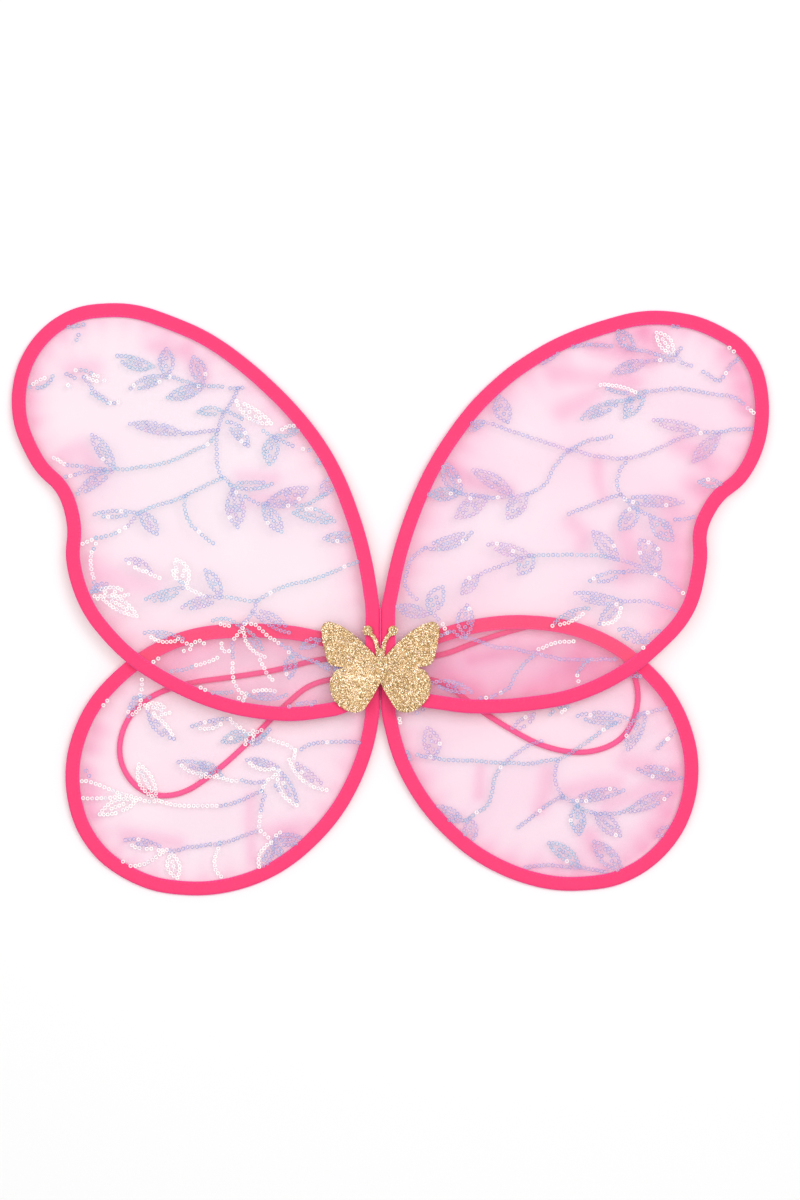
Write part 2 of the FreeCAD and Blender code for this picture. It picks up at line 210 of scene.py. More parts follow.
def binding_material():
    """Hot pink brushed stretch fabric, painted a little more magenta towards its edges as a painted sheen.
    """
    made = Shader("binding_knit", Roughness=0.82, Sheen_Weight=0.35, Sheen_Roughness=0.45)
    made.surface.inputs["Sheen Tint"].default_value = (1.0, 0.55, 0.75, 1)
    across = made.channels("across")[0]
    body = made.mix(made.noise(120, 3), (0.97, 0.031, 0.160), (0.97, 0.046, 0.180))
    pile = made.mix(made.noise(2600, 2), (0.97, 0.035, 0.165), (0.97, 0.060, 0.205))
    cloth = made.mix(0.5, body, pile)
    # Painted sheen: the outer fifth of the section on each side turns more magenta.
    made.into("Base Color", made.mix(made.spread(across, 0.80, 1.0), cloth, (1.0, 0.048, 0.32)))
    rows = made.wave(900, "DIAGONAL", 2.0)
    knit = made.maths("ADD", made.maths("MULTIPLY", rows, 0.5), made.noise(3200, 2))
    made.into("Roughness", made.spread(made.noise(700, 2), 0.3, 0.7, 0.74, 0.9))
    return made.bump(knit, 0.00012, 0.55).material


def organza_material():
    """Sheer pink organza: a few threads catch the light, and the gaps between them tint what is behind."""
    made = Shader("organza_weave", Roughness=0.45, Sheen_Weight=0.15, Sheen_Roughness=0.35)
    # The cloth number is the organza's pink with painted shade in its creases, puckers and under the upper
    # wings; it deepens the colour, the tint of what shows through and the cover.
    depth = made.channels("cloth")[0]
    made.into("Base Color", made.ramp(depth, (0.0, (1.0, 0.80, 0.89)), (1.0, (1.0, 0.36, 0.62))))
    weave = made.maths("MAXIMUM", made.wave(480, "X", 0.4), made.wave(480, "Y", 0.4))
    threads = made.spread(weave, 0.2, 1.0, 0.015, 0.07)
    cover = made.maths("ADD", threads, made.spread(depth, 0.0, 1.0, 0.0, 0.10))
    made.bump(weave, 0.00006, 0.5)
    through = made.node("ShaderNodeBsdfTransparent")
    tint = made.ramp(
        depth,
        (0.0, (0.988, 0.935, 0.957)),
        (0.3, (0.982, 0.858, 0.912)),
        (0.6, (0.973, 0.755, 0.845)),
        (1.0, (0.955, 0.60, 0.74)),
    )
    made.link(tint, through.inputs["Color"])
    both = made.node("ShaderNodeMixShader")
    made.link(cover, both.inputs[0])
    made.link(through.outputs[0], both.inputs[1])
    made.link(made.surface.outputs[0], both.inputs[2])
    made.link(both.outputs[0], made.tree.nodes["Material Output"].inputs["Surface"])
    return made.material


def sequin_material():
    """Clear iridescent cups: blue to lilac at the rim, nearly clear inside; some painted white and more
    opaque, with a faint glow, as painted glints.
    """
    made = Shader("sequin_film", Roughness=0.16, IOR=1.5, Coat_Weight=0.6, Coat_Roughness=0.08)
    made.surface.inputs["Thin Film Thickness"].default_value = 420
    made.surface.inputs["Thin Film IOR"].default_value = 1.4
    # The second number is how much the sequin is painted as a white glint; the third is its rim.
    tint, white, rim = list(made.channels("finish"))[:3]
    edge = made.ramp(
        tint,
        (0.0, (0.22, 0.52, 0.80)),
        (0.35, (0.26, 0.38, 0.82)),
        (0.7, (0.48, 0.36, 0.80)),
        (1.0, (0.72, 0.38, 0.76)),
    )
    inner = made.ramp(tint, (0.0, (0.62, 0.84, 1.0)), (1.0, (0.90, 0.66, 0.98)))
    film = made.mix(rim, inner, edge)
    painted_glint = made.mix(rim, (1.0, 0.90, 0.93), (1.0, 0.97, 0.93))
    made.into("Base Color", made.mix(white, film, painted_glint))
    # The painted glints are more opaque, and glow a little though they are no lamp.
    filled = made.maths("ADD", 0.03, made.maths("MULTIPLY", white, 0.35))
    made.into("Alpha", made.maths("MAXIMUM", filled, made.maths("MULTIPLY", rim, 0.9)))
    glow = made.maths("MULTIPLY", made.maths("MULTIPLY", white, rim), 0.30)
    made.into("Emission Color", painted_glint)
    made.into("Emission Strength", glow)
    return made.bump(made.noise(900, 2), 0.00005, 0.3).material


def glitter_material():
    """Metal flakes in lacquer, each its own gold, with a few white, green and pink ones."""
    made = Shader("glitter_flake", Metallic=0.75, Roughness=0.34)
    kind, light = list(made.channels("flake"))[:2]
    gold = made.ramp(
        light,
        (0.0, (0.12, 0.065, 0.026)),
        (0.3, (0.34, 0.19, 0.078)),
        (0.7, (0.57, 0.355, 0.165)),
        (1.0, (1.0, 0.84, 0.62)),
    )
    spark = made.ramp(kind, (0.95, (0.55, 0.70, 0.35)), (0.97, (0.95, 0.55, 0.55)), (1.0, (1.0, 0.95, 0.9)))
    made.into("Base Color", made.mix(made.spread(kind, 0.94, 0.95), gold, spark))
    return made.bump(made.cells(1800), 0.00006, 0.5).material


def card_material():
    """The glitter sheet itself under its flakes."""
    made = Shader("glitter_sheet", Metallic=0.5, Roughness=0.5)
    made.into("Base Color", made.mix(made.noise(1500, 2), (0.34, 0.21, 0.07), (0.60, 0.42, 0.16)))
    return made.bump(made.cells(1500), 0.0002, 0.9).material


def thread_material(name, colour):
    made = Shader(name, Roughness=0.6, Sheen_Weight=0.3)
    lighter = tuple(min(1.0, channel * 1.25 + 0.01) for channel in colour)
    made.into("Base Color", made.mix(made.noise(1500, 2), colour, lighter))
    return made.bump(made.wave(1600, "DIAGONAL"), 0.00005, 0.8).material


def elastic_material():
    """Braided cover of a round elastic."""
    made = Shader("elastic_braid", Roughness=0.7, Sheen_Weight=0.4, Sheen_Roughness=0.4)
    made.into("Base Color", made.mix(made.noise(900, 3), (0.95, 0.045, 0.24), (1.0, 0.11, 0.36)))
    return made.bump(made.noise(4200, 2), 0.0001, 0.5).material


def felt_material():
    made = Shader("felt_fibres", Roughness=0.95, Sheen_Weight=0.5, Sheen_Roughness=0.6)
    made.into("Base Color", made.mix(made.noise(500, 4, 0.7), (0.93, 0.05, 0.20), (1.0, 0.13, 0.32)))
    return made.bump(made.noise(2400, 5, 0.75), 0.0003, 0.9).material


def steel_material():
    made = Shader("drawn_steel", Metallic=1.0, Roughness=0.32)
    made.into("Base Color", made.mix(made.noise(300, 3), (0.52, 0.53, 0.55), (0.68, 0.68, 0.69)))
    return made.bump(made.noise(2600, 2, stretch=(1, 12, 1)), 0.00002, 0.5).material


def brass_material():
    made = Shader("crimped_brass", Metallic=1.0, Roughness=0.38)
    made.into("Base Color", made.mix(made.noise(600, 3), (0.66, 0.50, 0.24), (0.80, 0.64, 0.34)))
    return made.bump(made.noise(1800, 3), 0.00003, 0.6).material


def foam_material():
    made = Shader("foam_cells", Roughness=0.9)
    made.into("Base Color", made.mix(made.noise(800, 4), (0.86, 0.84, 0.78), (0.95, 0.93, 0.88)))
    return made.bump(made.cells(1400), 0.0003, 0.8).material


def board_material():
    made = Shader("grey_board", Roughness=0.85)
    made.into("Base Color", made.mix(made.noise(700, 4), (0.42, 0.40, 0.37), (0.56, 0.53, 0.48)))
    return made.bump(made.noise(1600, 4), 0.0001, 0.6).material


def tape_material():
    made = Shader("woven_tape", Roughness=0.8, Sheen_Weight=0.3)
    made.into("Base Color", made.mix(made.noise(900, 2), (0.96, 0.05, 0.22), (1.0, 0.10, 0.30)))
    weave = made.maths("MAXIMUM", made.wave(500, "Y"), made.wave(500, "Z"))
    return made.bump(weave, 0.00012, 0.7).material


MATERIALS = {
    "binding": binding_material(),
    "organza": organza_material(),
    "sequin": sequin_material(),
    "flake": glitter_material(),
    "glitter_sheet": card_material(),
    "thread": thread_material("pink_thread", (1.0, 0.055, 0.24)),
    "sewing": thread_material("clear_thread", (0.93, 0.72, 0.84)),
    "elastic": elastic_material(),
    "felt": felt_material(),
    "steel": steel_material(),
    "brass": brass_material(),
    "foam": foam_material(),
    "board": board_material(),
    "tape": tape_material(),
}


def finish(made, material, slot, *bodies):
    """A piece's material and the body that it rides on; slot is not used."""
    made.data.materials.clear()
    made.data.materials.append(MATERIALS[material])
    if bodies:
        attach(made, bodies[0])
    return made


def dress_node(node, material):
    """A CAD node that keeps its shape gets the detailed material."""
    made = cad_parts[node]
    made.data.materials.clear()
    made.data.materials.append(MATERIALS[material])


# ---------------------------------------------------------------- hoops, measured on the frame


def front_edge(node):
    """The outline of a flat CAD sheet's front face, in order, and that face's normal."""
    flat = bmesh.new()
    flat.from_mesh(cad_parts[node].data)
    bmesh.ops.remove_doubles(flat, verts=flat.verts, dist=1e-7)
    flat.normal_update()
    normal = Vector()
    follow = {}
    for face in flat.faces:
        if face.normal.z < 0.9:
            continue
        normal += face.normal * face.calc_area()
        for edge in face.edges:
            if sum(other.normal.z > 0.9 for other in edge.link_faces) == 1:
                one, two = (corner.index for corner in edge.verts)
                follow.setdefault(one, []).append(two)
                follow.setdefault(two, []).append(one)
    start = min(follow)
    order = [start, follow[start][0]]
    while order[-1] != start:
        one, two = follow[order[-1]]
        order.append(two if one == order[-2] else one)
    flat.verts.ensure_lookup_table()
    outline = [flat.verts[index].co.copy() for index in order[:-1]]
    flat.free()
    return outline, normal.normalized()


def evenly(points, step):
    """A closed outline with its points a step apart, lightly smoothed, counterclockwise."""
    points = np.asarray(points)
    ahead = np.roll(points, -1, 0)
    if np.sum(points[:, 0] * ahead[:, 1] - points[:, 1] * ahead[:, 0]) < 0:
        points = points[::-1]
    closed = np.vstack([points, points[:1]])
    gone = np.concatenate([[0], np.cumsum(np.linalg.norm(np.diff(closed, axis=0), axis=1))])
    count = round(gone[-1] / step)
    at = np.linspace(0, gone[-1], count, endpoint=False)
    even = np.column_stack([np.interp(at, gone, closed[:, axis]) for axis in (0, 1)])
    for _ in range(3):
        even = (np.roll(even, 1, 0) + 2 * even + np.roll(even, -1, 0)) / 4
    return even


def outward_of(outline):
    """Unit normals that point out of a counterclockwise outline."""
    along = np.roll(outline, -1, 0) - np.roll(outline, 1, 0)
    along /= np.linalg.norm(along, axis=1)[:, None]
    return np.column_stack([along[:, 1], -along[:, 0]])


PANEL_REACH = 0.8 * MM
PANEL_THICKNESS = 0.25 * MM
BINDING_HALF = 4.65 * MM
STATION = 1.25 * MM
CLOTH_STEP = 2.6 * MM


class Hoop:
    """One wing as it lies in the frame: a plane tilted about X, and the binding's centreline in it."""

    def __init__(self, lobe):
        self.lobe = lobe
        edge, normal = front_edge(f"{lobe}_panel")
        tilt = math.atan2(-normal.y, normal.z)
        flat = Matrix.Rotation(-tilt, 4, "X")
        level = [flat @ point for point in edge]
        self.panel_front = level[0].z
        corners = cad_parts[f"{lobe}_binding"].data.vertices
        binding = np.array([flat @ corner.co for corner in corners])
        self.middle = (binding[:, 2].max() + binding[:, 2].min()) / 2
        self.lay = Matrix.Rotation(tilt, 4, "X") @ Matrix.Translation((0, 0, self.middle))
        self.cloth_middle = self.panel_front - self.middle - PANEL_THICKNESS / 2
        raw = [(point.x, point.y) for point in level]
        self.panel_edge = evenly(raw, STATION)
        self.out = outward_of(self.panel_edge)
        self.centreline = self.panel_edge - self.out * PANEL_REACH
        self.inner_edge = self.panel_edge - self.out * (PANEL_REACH + BINDING_HALF)
        self.tree = kdtree.KDTree(len(self.inner_edge))
        for index, (x, y) in enumerate(self.inner_edge):
            self.tree.insert((x, y, 0), index)
        self.tree.balance()

    def inset(self, x, y):
        """How far a point is inside the binding's inner edge, and the nearest station."""
        near, index, away = self.tree.find((x, y, 0))
        side = (x - near.x) * self.out[index][0] + (y - near.y) * self.out[index][1]
        return (away if side < 0 else -away), index

    def place(self, points):
        """Points of the hoop's own plane, in the frame."""
        points = np.asarray(points, float)
        turn = np.array(self.lay.to_3x3())
        return points @ turn.T + np.array(self.lay.translation)


HOOPS = {lobe: Hoop(lobe) for lobe in LOBES}

# ---------------------------------------------------------------- bindings

# Once round the folded binding, in millimetres: outward from its middle, and forward.
BINDING_SECTION = [
    (-4.65, 0.10), (-4.58, 0.55), (-4.25, 0.84), (-3.75, 0.80), (-3.45, 0.72), (-3.15, 0.80),
    (-2.5, 0.90), (-1.3, 0.98), (0.0, 1.10), (1.2, 1.30), (2.2, 1.40), (3.2, 1.34), (4.0, 1.04),
    (4.5, 0.52), (4.65, 0.0), (4.5, -0.52), (4.0, -1.04), (3.2, -1.34), (2.2, -1.40),
    (1.2, -1.28), (0.0, -1.02), (-1.3, -0.84), (-2.5, -0.74), (-3.15, -0.66), (-3.45, -0.58),
    (-3.75, -0.64), (-4.25, -0.66), (-4.58, -0.38),
]
STITCH_ROW = -3.45 * MM
STITCH_FRONT = 0.76 * MM
STITCH_BACK = -0.62 * MM
STITCH_PITCH = 2.7 * MM
STITCH_RADIUS = 0.2 * MM
# How the binding strays: sideways in long waves, in and out at each stitch, and in small lumps.
SWAY_SIZE = 22 * MM
SWAY = 0.14 * MM
CRIMP = 0.05 * MM
LUMP_SIZE = 3.1 * MM
LUMP = 0.06 * MM


def make_binding(hoop):
    section = np.array(BINDING_SECTION) * MM
    points = []
    across = []
    for index, (middle, out) in enumerate(zip(hoop.centreline, hoop.out)):
        sway = noise.noise(Vector((*middle, 0)) / SWAY_SIZE) * SWAY
        crimp = math.sin(index * STATION / STITCH_PITCH * math.tau) * CRIMP
        for reach, front in section:
            inner = max(0.0, -reach / BINDING_HALF)
            lump = noise.noise(Vector((*(middle + out * reach), front)) / LUMP_SIZE) * LUMP
            away = reach + sway + crimp * inner ** 3
            points.append((*(middle + out * away), front + lump + crimp * 0.5 * inner ** 3))
            # How far out across the section a point lies; the material paints a sheen on the outer fifth of
            # each side.
            across.append((abs(reach) / BINDING_HALF, front > 0, 0, 1))
    faces = ring_faces(len(hoop.centreline), len(section), closed=True)
    made = mesh_object(f"{hoop.lobe}_binding_cloth", hoop.place(points), faces)
    point_colours(made, "across", across)
    finish(made, "binding", "binding", BODIES[hoop.lobe])
    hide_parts(f"{hoop.lobe}_binding")
    return made


def capsule(start, end, radius, rings=5, around=6):
    """Points and faces of a thin stitch from start to end."""
    start, end = Vector(start), Vector(end)
    along = (end - start).normalized()
    side = along.cross(Vector((0, 0, 1))).normalized()
    up = side.cross(along)
    points = []
    for ring in range(rings):
        share = ring / (rings - 1)
        thick = radius * max(0.25, math.sin(math.pi * (0.08 + 0.84 * share)))
        centre = start.lerp(end, share)
        for step in range(around):
            angle = step / around * math.tau
            points.append(centre + (side * math.cos(angle) + up * math.sin(angle)) * thick)
    faces = ring_faces(rings, around, closed=False)
    faces.append(tuple(reversed(range(around))))
    faces.append(tuple(range((rings - 1) * around, rings * around)))
    return points, faces


def gather(parts):
    """Several (points, faces) as one."""
    points = []
    faces = []
    for some, corners in parts:
        base = len(points)
        points.extend(some)
        faces.extend(tuple(base + corner for corner in face) for face in corners)
    return points, faces


def make_stitches(hoop):
    """The row of stitches that closes the binding, front and back."""
    row = hoop.centreline + hoop.out * STITCH_ROW
    skip = STITCH_PITCH / STATION
    count = int(len(row) / skip)
    parts = []
    for front in (STITCH_FRONT, STITCH_BACK):
        for stitch in range(count):
            first = int(stitch * skip)
            last = (first + 1) % len(row)
            one = (*row[first], front)
            two = (*(row[first] + (row[last] - row[first]) * 1.5), front)
            parts.append(capsule(one, two, STITCH_RADIUS))
    points, faces = gather(parts)
    made = mesh_object(f"{hoop.lobe}_stitching", hoop.place(points), faces)
    return finish(made, "thread", "thread", BODIES[hoop.lobe])


# ---------------------------------------------------------------- organza panels


def smooth_step(value):
    value = min(max(value, 0.0), 1.0)
    return value * value * (3 - 2 * value)


def pairs(numbers):
    """x, y, x, y, ... as a list of points."""
    return list(zip(numbers[::2], numbers[1::2]))


# Soft folds in the organza, each (width, x,y, x,y, ...) in millimetres; they raise the cloth and deepen its
# pink as painted shade.
CREASES = {
    "upper_left": [
        (9, -233,196, -234,175, -231,160), (7.5, -203,193, -189,194), (6, -150,208, -128,204, -116,187),
        (7.5, -207,136, -197,141, -187,124), (6, -92,122, -70,121), (6, -84,108, -55,107),
        (9, -192,62, -172,54, -150,50),
    ],
    "upper_right": [
        (10.5, 192,102, 192,80, 197,55, 188,33), (7.5, 161,84, 164,70, 160,57),
        (7.5, 120,165, 132,171, 141,176), (7.5, 118,190, 140,187, 166,184),
        (7.5, 138,213, 150,206, 167,203), (6, 44,129, 60,118, 84,112), (4.5, 143,131, 144,118, 147,108),
        (7.5, 196,143, 208,138, 217,129), (9, 228,206, 237,190, 241,168),
        (7.5, 174,216, 182,208, 178,200), (9, 205,116, 214,112), (6, 126,92, 134,84, 133,76),
    ],
    "lower_left": [
        (7.5, -195,-72, -191,-86, -193,-101), (6, -168,-113, -150,-116, -134,-119),
        (4.5, -85,-88, -86,-105, -84,-128), (7.5, -72,-112, -58,-110), (7.5, -186,-45, -190,-56),
    ],
    "lower_right": [
        (6, 110,-72, 109,-85, 105,-96), (12, 191,-80, 189,-95, 183,-110, 171,-123),
        (7.5, 124,-85, 140,-81, 156,-80), (7.5, 150,-94, 165,-88, 180,-81), (4.5, 66,-70, 65,-87),
        (6, 138,-114, 141,-122), (7.5, 162,-66, 176,-68), (4.5, 60,2, 85,7, 110,8),
        (9, 98,-22, 113,-11, 132,3), (7.5, 40,-6, 50,-12, 60,-18),
    ],
}
# How pink each wing's organza is away from its edges.
BASE_TONES = {"upper_left": 0.08, "upper_right": 0.20, "lower_left": 0.12, "lower_right": 0.20}


# How far in from the binding the cloth lies free, and the sizes of its billows, of the puckers along
# the binding, of its paler and pinker patches and of the pink at its edge.
FREE_AFTER = 22 * MM
BILLOW_SIZE = 55 * MM
PUCKER_PITCH = 17 * MM
PUCKER_SWAY = 50 * MM
PUCKER_REACH = 11 * MM
PATCH_SIZE = 38 * MM
EDGE_REACH = 9 * MM


def crease_pull(hoop, x, y):
    """How strongly the hand-laid creases pull at a point, from 0 to 1."""
    pull = 0.0
    for width, *line in CREASES[hoop.lobe]:
        for ends in zip(line[::2], line[1::2], line[2::2], line[3::2]):
            ax, ay, bx, by = (value * MM for value in ends)
            length = (bx - ax) ** 2 + (by - ay) ** 2
            share = min(max(((x - ax) * (bx - ax) + (y - ay) * (by - ay)) / length, 0), 1)
            away = math.hypot(x - ax - share * (bx - ax), y - ay - share * (by - ay))
            pull = max(pull, math.exp(-((away / (width * MM)) ** 2)))
    return pull


def cloth_at(hoop, x, y):
    """How far the organza stands forward of its stretched plane at a point, and how pink it is, with
    painted shade in its creases and puckers and under the upper wings.
    """
    inset, index = hoop.inset(x, y)
    free = smooth_step(inset / FREE_AFTER)
    seed = LOBES.index(hoop.lobe) * 7.3
    billow = noise.noise(Vector((x, y, seed)) / BILLOW_SIZE) * 0.5 + 0.4
    sway = 2.4 * noise.noise(Vector((x / PUCKER_SWAY, y / PUCKER_SWAY, seed)))
    phase = index * STATION / PUCKER_PITCH * math.tau + sway
    near = math.exp(-max(inset, 0) / PUCKER_REACH) * smooth_step(inset / (3 * MM))
    pucker = (math.sin(phase) * 0.5 + 0.5) * near
    crease = crease_pull(hoop, x, y) * smooth_step(inset / (4 * MM))
    rise = (0.9 * billow * free + 0.35 * pucker + 0.7 * crease) * MM
    patch = noise.noise(Vector((x, y, seed + 3)) / PATCH_SIZE) * 0.5 + 0.5
    edge = math.exp(-max(inset, 0) / EDGE_REACH) * (0.35 + 0.65 * patch)
    # The cloth's pink: its wing's tone in patches, painted shade under the upper wing, pinker near the
    # binding, and painted shade in the puckers and creases.
    pink_with_shade = BASE_TONES[hoop.lobe] * (0.3 + 1.4 * patch) + painted_shade_under_upper(hoop, x, y)
    pink_with_shade += 0.42 * edge + 0.2 * pucker + 0.36 * crease
    return max(rise, 0.0), min(1.0, pink_with_shade)


def painted_shade_under_upper(hoop, x, y):
    """A lower wing's cloth is a little pinker under the upper wing that lies on it: painted shade."""
    level, side = hoop.lobe.split("_")
    if level == "upper":
        return 0.0
    over = HOOPS[f"upper_{side}"].inset(x, y)[0]
    return 0.05 * smooth_step(over / (6 * MM) + 0.5)


def make_panel(hoop):
    """The sheet of organza, gripped by the binding all round."""
    border = evenly(hoop.panel_edge, CLOTH_STEP)
    low = border.min(0)
    high = border.max(0)
    inside = []
    row = 0
    y = low[1]
    while y < high[1]:
        x = low[0] + (row % 2) * CLOTH_STEP / 2
        while x < high[0]:
            if hoop.inset(x, y)[0] > -PANEL_REACH - BINDING_HALF + CLOTH_STEP * 0.7:
                inside.append((x, y))
            x += CLOTH_STEP
        y += CLOTH_STEP * math.sqrt(0.75)
        row += 1
    flat = [Vector(point) for point in list(border) + inside]
    ring = [(index, (index + 1) % len(border)) for index in range(len(border))]
    corners, _, faces, _, _, _ = delaunay_2d_cdt(flat, ring, [], 1, 1e-6)
    points = []
    marks = []
    for corner in corners:
        rise, pink_with_shade = cloth_at(hoop, corner.x, corner.y)
        points.append((corner.x, corner.y, hoop.cloth_middle + rise))
        marks.append((pink_with_shade, 0, 0, 1))
    made = mesh_object(f"{hoop.lobe}_organza", hoop.place(points), faces)
    point_colours(made, "cloth", marks)
    finish(made, "organza", "organza", BODIES[hoop.lobe])
    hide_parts(f"{hoop.lobe}_panel")
    return made
